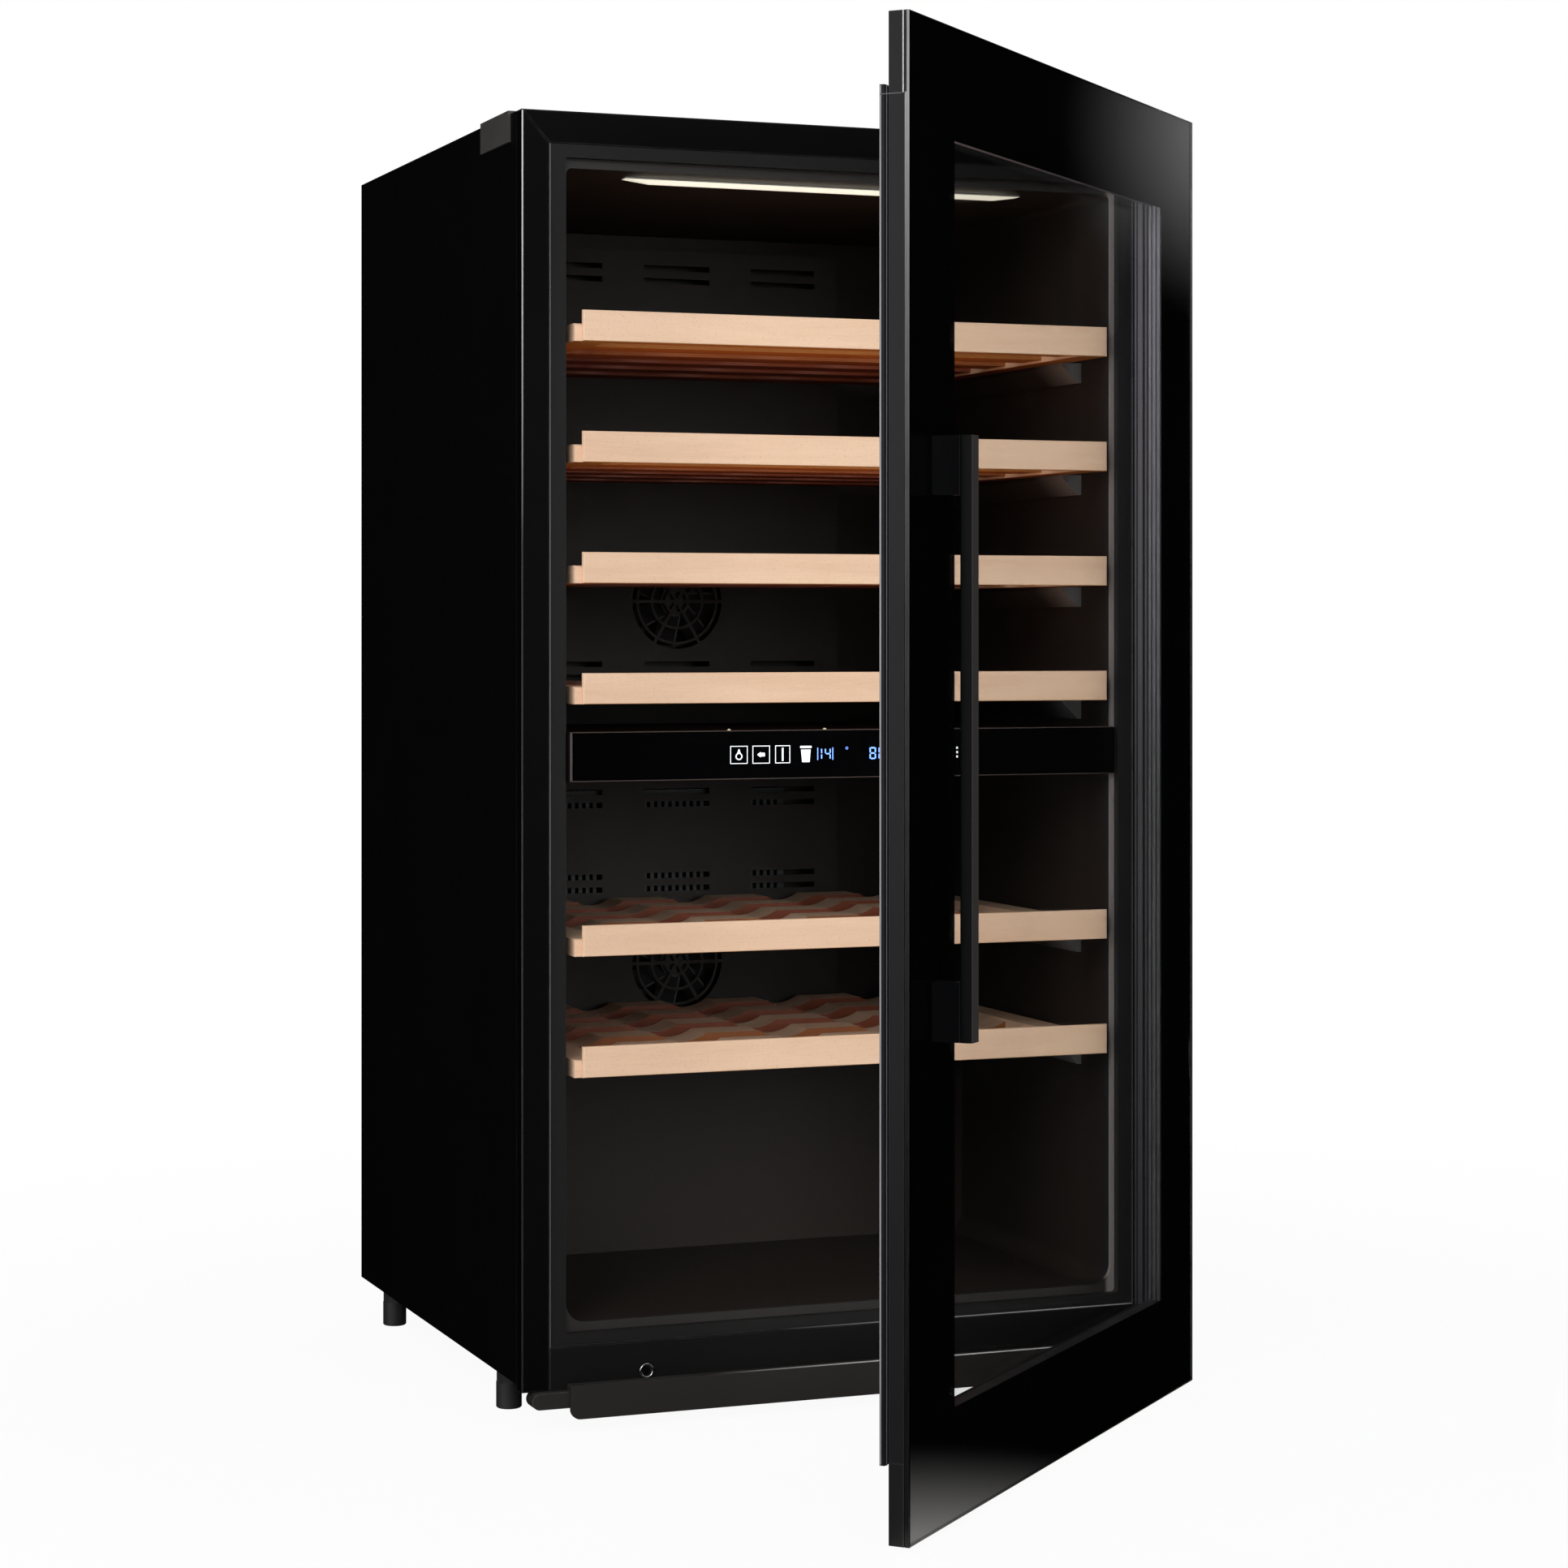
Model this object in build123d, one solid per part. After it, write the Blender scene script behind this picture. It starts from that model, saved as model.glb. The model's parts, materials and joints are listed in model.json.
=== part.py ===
"""Two-zone built-in wine cooler with a framed glass door, wooden shelves and a touch bar.

Cabinet coordinates, in millimetres: x = 0 is the middle of the cabinet, y = 0 is the plane of the
front frame with +Y towards the back, and z = 0 is the floor. The door is drawn closed and then
turned about its hinge pins. At export every node is shifted sideways by the same amount, so that
the stored object stands on z = 0 with the middle of its box at x = y = 0.
"""
from build123d import *
from math import radians, sin
import os

# Cabinet
CABINET_W = 555.0
CABINET_D = 510.0
CABINET_BOTTOM = 32.0
CABINET_TOP = 1044.5
SHEET = 1.2
HALF_W = CABINET_W / 2
SHELL_X = HALF_W - SHEET
SHELL_TOP = CABINET_TOP - SHEET
RETURN_W = 15.5
BACK_Y = CABINET_D - 2 * SHEET

# Front frame and the inner liner behind it
FRAME_DEPTH = 14.0
FRAME_FACE = 2.5
STILE_W = 22.9
RAIL_TOP_H = 26.0
RAIL_BOTTOM_H = 34.2
FRAME_IN_X = HALF_W - STILE_W
FRAME_IN_TOP = CABINET_TOP - RAIL_TOP_H
FRAME_IN_BOTTOM = CABINET_BOTTOM + RAIL_BOTTOM_H
EDGE_BREAK = 0.7
LINER_X = 238.3
LINER_BOTTOM = 80.0
LINER_TOP = 1001.5
LINER_BACK = 455.0
LINER_T = 1.5
LINER_R_LOW = 16.0
LINER_R_HIGH = 5.0
FLANGE_Y = 1.0
MOUTH_X = 241.3
MOUTH_Z = (76.2, 1008.0)
MOUTH_R = 3.0
MOUTH_BACK = 12.5
MOUTH_OUT_X = MOUTH_X + LINER_T
MOUTH_OUT_Z = (MOUTH_Z[0] - LINER_T, MOUTH_Z[1] + LINER_T)
LIP_Y = (8.5, 12.5)
LIP_Z = (83.0, 1000.5)
STEP_Y = 315.0
STEP_Z = 255.0

# Machine bay at the bottom rear
BAY_Y = 344.0
BAY_TOP = 215.0
BASE_Z = 36.0
BASE_T = 1.5
BASE_TOP = BASE_Z + BASE_T

# Shelves
SHELF_PITCH = 96.0
UPPER_SHELF_TOP = 599.4
LOWER_SHELF_TOP = 303.4
UPPER_SHELVES = 4
LOWER_SHELVES = 2
BOARD_X = 228.2
BOARD_H = 24.7
BOARD_FRONT = -5.0
BOARD_BACK = -1.0
BOARD_ROUND = 1.0
RACK_BACK = 405.0
BATTEN_LEFT_X = -234.3
BATTEN_IN_X = 204.3
BATTEN_H = 14.0
BATTEN_ROUND = 2.5
SLAT_W = 38.0
SLAT_H = 11.0
SLAT_DROP = 1.0
SLAT_COUNT = 6
BOTTLE_PITCH = 92.0
BOTTLE_R = 40.0
SCALLOP_DEPTH = 6.5
RUNNER_FRONT = 65.0
RUNNER_BACK = 400.0
RUNNER_W = 17.5
RUNNER_H = 17.0
SLIDE_GAP = 0.3

# Zone divider and touch bar
DIVIDER_BOTTOM = 513.1
DIVIDER_TOP = 552.5
BAR_X = 237.6
BAR_T = 3.0
CARRIER_DEPTH = 14.0
SLAB_Z = (519.0, 547.0)
SLAB_BACK = 416.0
BOARD_POCKET_X = (-150.0, 200.0)
KEY_X = (-95.0, -75.8, -57.2)
DIGIT_X = (-20.0, 25.0)
DISPLAY_Z = (527.0, 538.5)

# Ceiling lamp: a thin base with a bevelled diffuser below it
LAMP_X = 174.0
LAMP_TAPER = 22.0
LAMP_Y = (52.0, 62.0)
LAMP_BASE_T = 1.0
LAMP_DROP = 4.4

# Air ducts and fans on the back wall
DUCT_X = 160.0
DUCT_FRONT = 420.0
DUCT_T = 2.0
UPPER_DUCT = (570.0, 985.0)
LOWER_DUCT = (262.0, 500.0)
UPPER_FAN_Z = 660.0
LOWER_FAN_Z = 325.0
FAN_R = 42.0
FAN_HUB_R = 14.0
FAN_SHAFT_R = 2.0
RUNNING_GAP = 0.05
GUARD_RINGS = (12.0, 26.0, 40.0)
GUARD_BAR = 2.5
SLOT_X = (-105.0, 0.0, 105.0)
SLOT_HALF = (32.0, 2.5)
UPPER_SLOTS = (590.0, 602.0, 957.0, 969.0)
LOWER_SLOTS = (394.0, 406.0, 472.0, 484.0)
COIL_X = 110.0
COIL_FRONT = 430.0
COIL_Z = ((745.0, 945.0), (385.0, 485.0))
DUCT_FAN_Y = (426.0, 439.0)
DUCT_SHAFT_END = 446.0
SENSOR_Z = (640.0, 430.0)

# Machine bay contents
COMPRESSOR_XY = (-110.0, 428.0)
COMPRESSOR_R = 60.0
COMPRESSOR_Z = (52.5, 180.0)
DOME_R = 28.0
MOUNT_TOP = 49.5
MOUNT_R = 11.0
DISCHARGE_Z = 140.0
SUCTION_Z = 110.0
SUCTION_STEP = 15.0
TRAY_X = (-175.0, -45.0)
TRAY_Y = (365.0, 490.0)
TRAY_Z = (180.0, 200.0)
CONDENSER_X = (70.0, 230.0)
CONDENSER_Y = (440.0, 490.0)
CONDENSER_TOP = 190.0
BAY_FAN_X = 150.0
BAY_FAN_Z = 97.5
BAY_FAN_R = 52.0
BAY_FAN_HALF = 60.0
BAY_FAN_DEPTH = 28.0
LOUVRE_X = (-145.0, -75.0, 115.0, 185.0)
LOUVRE_Z = range(60, 191, 13)

# Feet and plinth
FOOT_X = 259.0
FOOT_FRONT_Y = 97.0
FOOT_REAR_Y = 460.0
FOOT_R = 10.5
STUD_R = 4.0
BOSS_R = 8.0
BOSS_H = 20.0
PAD_H = 21.0
GRIP_H = 14.5
PLINTH_X = 240.0
PLINTH_Z = (10.0, 36.7)
PLINTH_FRONT = -10.0
PLINTH_T = 3.0
PLINTH_R = 8.0
SIDE_BAR_X = (-271.0, -230.0)
SIDE_BAR_Y = (-7.0, 10.0)
SIDE_BAR_BOTTOM = 19.0

# Fixing brackets on the top side edges
BRACKET_Y = (31.0, 110.0)
BRACKET_BOTTOM = 1022.0
BRACKET_T = 2.5
BRACKET_LEG = 20.5
BRACKET_HOLE_X = 266.0
BRACKET_HOLE_Y = (45.5, 95.5)

# Door, drawn closed
DOOR_X = 297.5
DOOR_BOTTOM = 3.0
DOOR_TOP = 1060.0
DOOR_FRONT = -37.0
GLASS_T = 4.0
MASK_T = 0.4
MASK_H = 80.0
MASK_FREE_W = 83.5
MASK_HINGE_W = 74.0
RAIL_H = 57.0
GLASS_BACK = DOOR_FRONT + GLASS_T
MASK_BACK = GLASS_BACK + MASK_T
FRAME_BACK = -21.0
CARRIER_BACK = -13.5
GASKET_BACK = -0.5
CARRIER_X = 267.0
CARRIER_Z = (49.5, 1015.0)
CARRIER_H = 17.0
LIP_W = 7.0
WALL_X = 243.0
PANE_Y = (-20.0, -15.8)
SPACER_W = 12.0
SPACER_X = 241.0
SPACER_GROOVE = 1.4
SPACER_GROOVES_Y = (-30.4, -26.6, -22.8)
GASKET_W = 24.0

# Hinges: pins in the door's hinge edge
PIVOT_X = 287.5
PIVOT_Y = -27.0
DOOR_OPEN = 43.26
PIN_R = 2.5
EYE_R = 5.0
BUSH_R = 4.5
ARM_T = 4.0
TOP_ARM_Z = 1036.0
BOTTOM_ARM_Z = 38.0
SLOT_GAP = 1.5
PIN_UP = 12.0
SCREW_X = (226.0, 237.0)
TOP_SCREW_Z = 1027.0
BOTTOM_SCREW_Z = 42.0
SCREW_R = 2.0
HEAD_R = 4.2
PLATE_X = (220.0, 272.0)
PLATE_T = 3.0
PLATE_Z = ((1019.0, 1043.0), (37.0, 47.0))

# Handle
HANDLE_X = (-259.5, -246.0)
HANDLE_Z = (347.0, 769.0)
HANDLE_GAP = 21.0
HANDLE_T = 9.3
BLOCK_H = 41.5

# Ring-faced plug in the bottom rail, and the mains inlet at the back
PLUG_X = -174.0
PLUG_Z = 42.4
PLUG_R = 5.4
PLUG_STEM_R = 3.0
INLET_X = (-242.0, -214.0)
INLET_Z = (60.0, 81.0)


def block(x0, x1, y0, y1, z0, z1):
    """A box between two corners."""
    return Pos((x0 + x1) / 2, (y0 + y1) / 2, (z0 + z1) / 2) * Box(x1 - x0, y1 - y0, z1 - z0)


def prism_x(points, x0, x1):
    """A (y, z) outline pushed along X."""
    return extrude(Plane.YZ.offset(x0) * Polygon(*points), amount=x1 - x0)


def prism_y(points, y0, y1):
    """An (x, z) outline pushed along Y."""
    return extrude(Plane.XZ.offset(-y1) * Polygon(*points), amount=y1 - y0)


def prism_z(points, z0, z1):
    """An (x, y) outline pushed along Z."""
    return extrude(Plane.XY.offset(z0) * Polygon(*points), amount=z1 - z0)


def rod_y(x, z, r, y0, y1):
    return Pos(x, (y0 + y1) / 2, z) * Rot(90, 0, 0) * Cylinder(r, y1 - y0)


def rod_z(x, y, r, z0, z1):
    return Pos(x, y, (z0 + z1) / 2) * Cylinder(r, z1 - z0)


def rounded_y(x_half, z0, z1, r, y0, y1):
    """A rounded rectangle in the front plane, pushed along Y."""
    face = RectangleRounded(2 * x_half, z1 - z0, r)
    return extrude(Plane.XZ.offset(-y1) * Pos(0, (z0 + z1) / 2) * face, amount=y1 - y0)


def room_block(x_half, z0, z1, grow, y0, y1):
    """A block with the liner's corner radii, grown outwards by a wall thickness."""
    shape = block(-x_half, x_half, y0, y1, z0, z1)
    shape = fillet(shape.edges().filter_by(Axis.Y).group_by(Axis.Z)[0], LINER_R_LOW + grow)
    return fillet(shape.edges().filter_by(Axis.Y).group_by(Axis.Z)[-1], LINER_R_HIGH + grow)


def mirrored(shape):
    """The left-right mirror image about the cabinet's middle plane."""
    return mirror(shape, about=Plane.YZ)


# ---------------------------------------------------------------- casing
def side_panel():
    """Left side sheet with a return along its rear edge."""
    sheet = block(-HALF_W, -SHELL_X, FRAME_DEPTH, CABINET_D, BASE_Z, CABINET_TOP)
    back_return = block(-SHELL_X, -HALF_W + RETURN_W, CABINET_D - SHEET, CABINET_D, BASE_Z, CABINET_TOP)
    return sheet + back_return


def bracket_holes(r, z0, z1):
    """Two holes through each fixing bracket's top leg."""
    return [rod_z(side * BRACKET_HOLE_X, y, r, z0, z1) for side in (-1, 1) for y in BRACKET_HOLE_Y]


def top_panel():
    sheet = block(-SHELL_X, SHELL_X, FRAME_DEPTH, CABINET_D - SHEET, SHELL_TOP, CABINET_TOP)
    return sheet - bracket_holes(3.0, SHELL_TOP - 1, CABINET_TOP + 1)


def back_panel():
    return block(-SHELL_X, SHELL_X, BACK_Y, BACK_Y + SHEET, BAY_TOP, SHELL_TOP)


def foot_places():
    return [(x, y) for y in (FOOT_FRONT_Y, FOOT_REAR_Y) for x in (-FOOT_X, FOOT_X)]


def base_plate():
    """Steel base with a threaded boss over each foot."""
    plate = block(-SHELL_X, SHELL_X, FRAME_DEPTH, BACK_Y + SHEET, BASE_Z, BASE_TOP)
    for x, y in foot_places():
        plate += rod_z(x, y, BOSS_R, BASE_TOP, BASE_TOP + BOSS_H)
    hole_top = BASE_TOP + BOSS_H + 1
    return plate - [rod_z(x, y, STUD_R + RUNNING_GAP, BASE_Z - 1, hole_top) for x, y in foot_places()]


def insulation():
    """Foam blocks: left, right, top, back, floor and the step over the machine bay."""
    outer = LINER_X + LINER_T
    liner_top = LINER_TOP + LINER_T
    liner_floor = LINER_BOTTOM - LINER_T
    step_front = STEP_Y + LINER_T
    step_top = STEP_Z - LINER_T
    side_outline = [(FRAME_DEPTH, BASE_TOP), (BAY_Y, BASE_TOP), (BAY_Y, BAY_TOP), (BACK_Y, BAY_TOP),
                    (BACK_Y, liner_top), (FRAME_DEPTH, liner_top)]
    left = prism_x(side_outline, -SHELL_X, -outer)
    left -= rod_z(-FOOT_X, FOOT_FRONT_Y, BOSS_R, BASE_Z, BASE_TOP + BOSS_H)
    top = block(-SHELL_X, SHELL_X, FRAME_DEPTH, BACK_Y, liner_top, SHELL_TOP)
    top -= bracket_holes(3.0, SHELL_TOP - 14, SHELL_TOP + 1)
    back = block(-outer, outer, LINER_BACK + LINER_T, BACK_Y, BAY_TOP, liner_top)
    floor = block(-outer, outer, FRAME_DEPTH, step_front, BASE_TOP, liner_floor)
    step_outline = [(step_front, BASE_TOP), (BAY_Y, BASE_TOP), (BAY_Y, BAY_TOP),
                    (LINER_BACK + LINER_T, BAY_TOP), (LINER_BACK + LINER_T, step_top), (step_front, step_top)]
    step = prism_x(step_outline, -outer, outer)
    return [left, mirrored(left), top, back, floor, step]


def inner_liner():
    """Thin moulded shell with a square-cornered mouth and flange, stepped over the machine bay."""
    far = LINER_BACK + LINER_T
    low, high = LINER_BOTTOM - LINER_T, LINER_TOP + LINER_T
    shell = room_block(LINER_X + LINER_T, low, high, LINER_T, MOUTH_BACK, far)
    shell -= block(-HALF_W, HALF_W, STEP_Y + LINER_T, far + 1, 0, STEP_Z - LINER_T)
    shell += block(-MOUTH_OUT_X, MOUTH_OUT_X, FRAME_FACE, MOUTH_BACK + LINER_T, *MOUTH_OUT_Z)
    shell += block(-FRAME_IN_X, FRAME_IN_X, FLANGE_Y, FRAME_FACE, FRAME_IN_BOTTOM, FRAME_IN_TOP)
    room = room_block(LINER_X, LINER_BOTTOM, LINER_TOP, 0, FRAME_FACE, LINER_BACK)
    room -= block(-HALF_W, HALF_W, STEP_Y, far + 1, 0, STEP_Z)
    return shell - room - rounded_y(MOUTH_X, *MOUTH_Z, MOUTH_R, FLANGE_Y - 1, MOUTH_BACK)


def machine_bay_wall():
    """Bent steel sheet that lines the front and the roof of the machine bay."""
    outline = [(BAY_Y, BASE_TOP), (BAY_Y + 1, BASE_TOP), (BAY_Y + 1, BAY_TOP - 1), (BACK_Y, BAY_TOP - 1),
               (BACK_Y, BAY_TOP), (BAY_Y, BAY_TOP)]
    return prism_x(outline, -SHELL_X, SHELL_X)


# ---------------------------------------------------------------- front frame
def soften(solid, y, size):
    """Chamfer the edges that lie in one front plane."""
    return chamfer(solid.edges().filter_by_position(Axis.Y, y - 0.01, y + 0.01), size)


def frame_stile():
    """Left stile: mitred at the top, full height at the bottom, rebated for the liner's flange."""
    x_in, z_in = MOUTH_OUT_X, MOUTH_OUT_Z[1]
    face = prism_y([(-HALF_W, CABINET_BOTTOM), (-FRAME_IN_X, CABINET_BOTTOM), (-FRAME_IN_X, FRAME_IN_TOP),
                    (-HALF_W, CABINET_TOP)], 0, FRAME_FACE)
    body = prism_y([(-HALF_W, CABINET_BOTTOM), (-x_in, CABINET_BOTTOM), (-x_in, z_in),
                    (-HALF_W, CABINET_TOP)], FRAME_FACE, FRAME_DEPTH)
    return soften(face + body, 0, EDGE_BREAK)


def screw_holes(z):
    return [rod_y(x, z, SCREW_R + RUNNING_GAP, -1, FRAME_DEPTH + 1) for x in SCREW_X]


def frame_rail_top():
    x_in, z_in = MOUTH_OUT_X, MOUTH_OUT_Z[1]
    face = prism_y([(-HALF_W, CABINET_TOP), (-FRAME_IN_X, FRAME_IN_TOP), (FRAME_IN_X, FRAME_IN_TOP),
                    (HALF_W, CABINET_TOP)], 0, FRAME_FACE)
    body = prism_y([(-HALF_W, CABINET_TOP), (-x_in, z_in), (x_in, z_in), (HALF_W, CABINET_TOP)],
                   FRAME_FACE, FRAME_DEPTH)
    return soften(face + body, 0, EDGE_BREAK) - screw_holes(TOP_SCREW_Z)


def frame_rail_bottom():
    face = block(-FRAME_IN_X, FRAME_IN_X, 0, FRAME_FACE, CABINET_BOTTOM, FRAME_IN_BOTTOM)
    body = block(-MOUTH_OUT_X, MOUTH_OUT_X, FRAME_FACE, FRAME_DEPTH, CABINET_BOTTOM, MOUTH_OUT_Z[0])
    rail = soften(face + body, 0, EDGE_BREAK) - screw_holes(BOTTOM_SCREW_Z)
    return rail - rod_y(PLUG_X, PLUG_Z, PLUG_STEM_R + RUNNING_GAP, -1, 9)


def frame_plug():
    """Ring-faced plug in the bottom rail."""
    ring = rod_y(PLUG_X, PLUG_Z, PLUG_R, -1.5, 0) - rod_y(PLUG_X, PLUG_Z, PLUG_R - 1.6, -2, -0.7)
    ring = fillet(ring.edges().filter_by_position(Axis.Y, -1.51, -1.49), 0.6)
    return ring + rod_y(PLUG_X, PLUG_Z, PLUG_STEM_R, 0, 8)


def opening_trim():
    """Plate that lines the back of the mouth, with rounded lower corners."""
    y0, y1 = LIP_Y
    return rounded_y(MOUTH_X, *MOUTH_Z, MOUTH_R, y0, y1) - room_block(LINER_X, *LIP_Z, 0, y0 - 1, y1 + 1)


# ---------------------------------------------------------------- inside the cabinet
def ceiling_lamp_housing():
    """Thin base screwed to the ceiling."""
    return block(-LAMP_X, LAMP_X, *LAMP_Y, LINER_TOP - LAMP_BASE_T, LINER_TOP)


def ceiling_lamp_lens():
    """Diffuser below the base, with a bevelled front and ends that run out to a point."""
    high, low = LINER_TOP - LAMP_BASE_T, LINER_TOP - LAMP_DROP
    y0, y1 = LAMP_Y
    length = prism_y([(-LAMP_X, high), (-LAMP_X + LAMP_TAPER, low), (LAMP_X - LAMP_TAPER, low),
                      (LAMP_X, high)], y0, y1)
    return length & prism_x([(y0, high), (y0 + 2, low), (y1 - 3, low), (y1, high)], -LAMP_X, LAMP_X)


def zone_divider():
    """Insulated floor of the upper zone with the carrier of the touch bar at its front."""
    slab = block(-LINER_X, LINER_X, CARRIER_DEPTH, SLAB_BACK, *SLAB_Z)
    carrier = block(-BAR_X, BAR_X, BAR_T, CARRIER_DEPTH, DIVIDER_BOTTOM, DIVIDER_TOP)
    return slab + carrier - block(*BOARD_POCKET_X, BAR_T - 1, 9, DIVIDER_BOTTOM + 6, DIVIDER_TOP - 6)


def control_glass():
    return soften(block(-BAR_X, BAR_X, 0, BAR_T, DIVIDER_BOTTOM, DIVIDER_TOP), 0, 0.5)


def control_board():
    """Circuit board behind the touch bar, with its key pads, displays and a connector."""
    x0, x1 = BOARD_POCKET_X[0] + 5, BOARD_POCKET_X[1] - 5
    board = block(x0, x1, 6, 7.6, DIVIDER_BOTTOM + 7, DIVIDER_TOP - 7)
    keys = [block(x - 5, x + 5, 3.6, 6, *DISPLAY_Z) for x in KEY_X]
    digits = [block(x - 9, x + 9, 3.6, 6, *DISPLAY_Z) for x in DIGIT_X]
    return board + keys + digits + block(x0, x0 + 6, 7.6, 9, DIVIDER_BOTTOM + 8, DIVIDER_TOP - 8)


def guard(z):
    """Rings and spokes that close a fan opening in a duct's front wall."""
    y0, y1 = DUCT_FRONT, DUCT_FRONT + DUCT_T
    rings = []
    for r in GUARD_RINGS:
        rings.append(rod_y(0, z, r, y0, y1) - rod_y(0, z, r - GUARD_BAR, y0 - 1, y1 + 1))
    spoke = block(-FAN_R - 3, FAN_R + 3, y0, y1, z - 1.5, z + 1.5)
    turned = [Pos(0, 0, z) * Rot(0, angle, 0) * Pos(0, 0, -z) * spoke for angle in (0, 60, 120)]
    return rings + turned


def duct_cover(z_range, fan_z, slot_rows):
    """Open-backed box over an evaporator and its fan, with outlet slots."""
    z0, z1 = z_range
    cover = block(-DUCT_X, DUCT_X, DUCT_FRONT, LINER_BACK, z0, z1)
    cover -= block(-DUCT_X + DUCT_T, DUCT_X - DUCT_T, DUCT_FRONT + DUCT_T, LINER_BACK + 1,
                   z0 + DUCT_T, z1 - DUCT_T)
    cover -= rod_y(0, fan_z, FAN_R + 2, DUCT_FRONT - 1, DUCT_FRONT + DUCT_T + 1)
    dx, dz = SLOT_HALF
    cover -= [block(x - dx, x + dx, DUCT_FRONT - 1, DUCT_FRONT + DUCT_T + 1, z - dz, z + dz)
              for z in slot_rows for x in SLOT_X]
    return cover + guard(fan_z)


def finned_block(x0, x1, y0, y1, z0, z1, gap, pitch, back):
    """A block of upright plates on a closed back."""
    count = int((x1 - x0 - pitch) // pitch)
    start = (x0 + x1) / 2 - (count - 1) * pitch / 2
    slots = [block(start + i * pitch - gap / 2, start + i * pitch + gap / 2, y0 - 1, y1 - back, z0 + 4, z1 - 4)
             for i in range(count)]
    return block(x0, x1, y0, y1, z0, z1) - slots


def evaporators():
    return [finned_block(-COIL_X, COIL_X, COIL_FRONT, LINER_BACK, z0, z1, 3.5, 7.0, 4.0) for z0, z1 in COIL_Z]


def duct_fan_motors():
    motors = []
    for z in (UPPER_FAN_Z, LOWER_FAN_Z):
        motor = rod_y(0, z, 16, 441, 453) + rod_y(0, z, 30, 453, LINER_BACK)
        motors.append(motor - rod_y(0, z, FAN_SHAFT_R + RUNNING_GAP, 440, 448))
    return motors


def fan_wheel(x, z, r, hub_r, y0, y1, blades, shaft_end):
    """Axial wheel with pitched blades and a stub shaft towards the back."""
    mid = (y0 + y1) / 2
    blade = Pos(x + (hub_r + r) / 2 - 1, mid, z) * Rot(38, 0, 0) * Box(r - hub_r + 2, 1.6, r * 0.5)
    wheel = rod_y(x, z, hub_r, y0, y1)
    for i in range(blades):
        wheel += Pos(x, 0, z) * Rot(0, 360 / blades * i, 0) * Pos(-x, 0, -z) * blade
    keep = rod_y(x, z, r, y0, y1)
    return (wheel & keep) + rod_y(x, z, FAN_SHAFT_R, y1, shaft_end)


def zone_sensors():
    return [block(-LINER_X, -LINER_X + 14, 409, 418, z, z + 40) for z in SENSOR_Z]


def shelf_tops():
    lower = [LOWER_SHELF_TOP + SHELF_PITCH * i for i in range(LOWER_SHELVES)]
    upper = [UPPER_SHELF_TOP + SHELF_PITCH * i for i in range(UPPER_SHELVES)]
    return lower + upper


def shelf_runners():
    """A grey rail with a sloped underside below each end of every shelf."""
    rails = []
    for top in shelf_tops():
        z = top - BOARD_H - SLIDE_GAP
        outline = [(LINER_X, z), (LINER_X - RUNNER_W, z), (LINER_X - RUNNER_W, z - 3),
                   (LINER_X - 3.5, z - RUNNER_H), (LINER_X, z - RUNNER_H)]
        right = prism_y(outline, RUNNER_FRONT, RUNNER_BACK)
        rails += [right, mirrored(right)]
    return rails


def shelf(top):
    """Front board on two side battens, the left one wider, with scalloped cross slats between them."""
    bottom = top - BOARD_H
    board = block(-BOARD_X, BOARD_X, BOARD_FRONT, BOARD_BACK, bottom, top)
    board = fillet(board.edges().group_by(Axis.Y)[0], BOARD_ROUND)
    battens = []
    for x0, x1 in ((BATTEN_LEFT_X, -BATTEN_IN_X), (BATTEN_IN_X, BOARD_X)):
        batten = block(x0, x1, BOARD_BACK, RACK_BACK, bottom, bottom + BATTEN_H)
        front_edge = batten.edges().filter_by(Axis.X).group_by(Axis.Z)[-1].sort_by(Axis.Y)[0]
        battens.append(fillet(front_edge, BATTEN_ROUND))
    slat_top = bottom + BATTEN_H - SLAT_DROP
    scallops = [rod_y(BOTTLE_PITCH * (i - 2), slat_top - SCALLOP_DEPTH + BOTTLE_R, BOTTLE_R,
                      BOARD_BACK - 1, RACK_BACK + 1) for i in range(5)]
    slat_step = (RACK_BACK - SLAT_W - BOARD_BACK) / (SLAT_COUNT - 1)
    slat = block(-BATTEN_IN_X, BATTEN_IN_X, BOARD_BACK, BOARD_BACK + SLAT_W, slat_top - SLAT_H, slat_top) - scallops
    slats = [Pos(0, slat_step * i, 0) * slat for i in range(SLAT_COUNT)]
    return [board] + battens + slats


# ---------------------------------------------------------------- machine bay
def compressor():
    """Domed shell on a foot bracket, with a terminal box and two pipe stubs."""
    x, y = COMPRESSOR_XY
    shell = rod_z(x, y, COMPRESSOR_R, *COMPRESSOR_Z)
    shell = fillet(shell.edges().group_by(Axis.Z)[-1], DOME_R)
    shell = fillet(shell.edges().group_by(Axis.Z)[0], 12)
    bracket = block(x - 85, x + 68, y - 55, y + 55, MOUNT_TOP, MOUNT_TOP + 3.5)
    terminal = block(x - 80, x - 50, y - 24, y + 24, 85, 140)
    ports = ((0, DISCHARGE_Z), (SUCTION_STEP, SUCTION_Z))
    stubs = [Pos(x + COMPRESSOR_R + 2, y + dy, z) * Rot(0, 90, 0) * Cylinder(5, 14) for dy, z in ports]
    return shell + bracket + terminal + stubs


def compressor_mounts():
    x, y = COMPRESSOR_XY
    return [rod_z(x + dx, y + dy, MOUNT_R, BASE_TOP, MOUNT_TOP) for dx in (-72, 55) for dy in (-43, 43)]


def condenser():
    return finned_block(*CONDENSER_X, *CONDENSER_Y, BASE_TOP, CONDENSER_TOP, 3.0, 6.0, 5.0)


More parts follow.
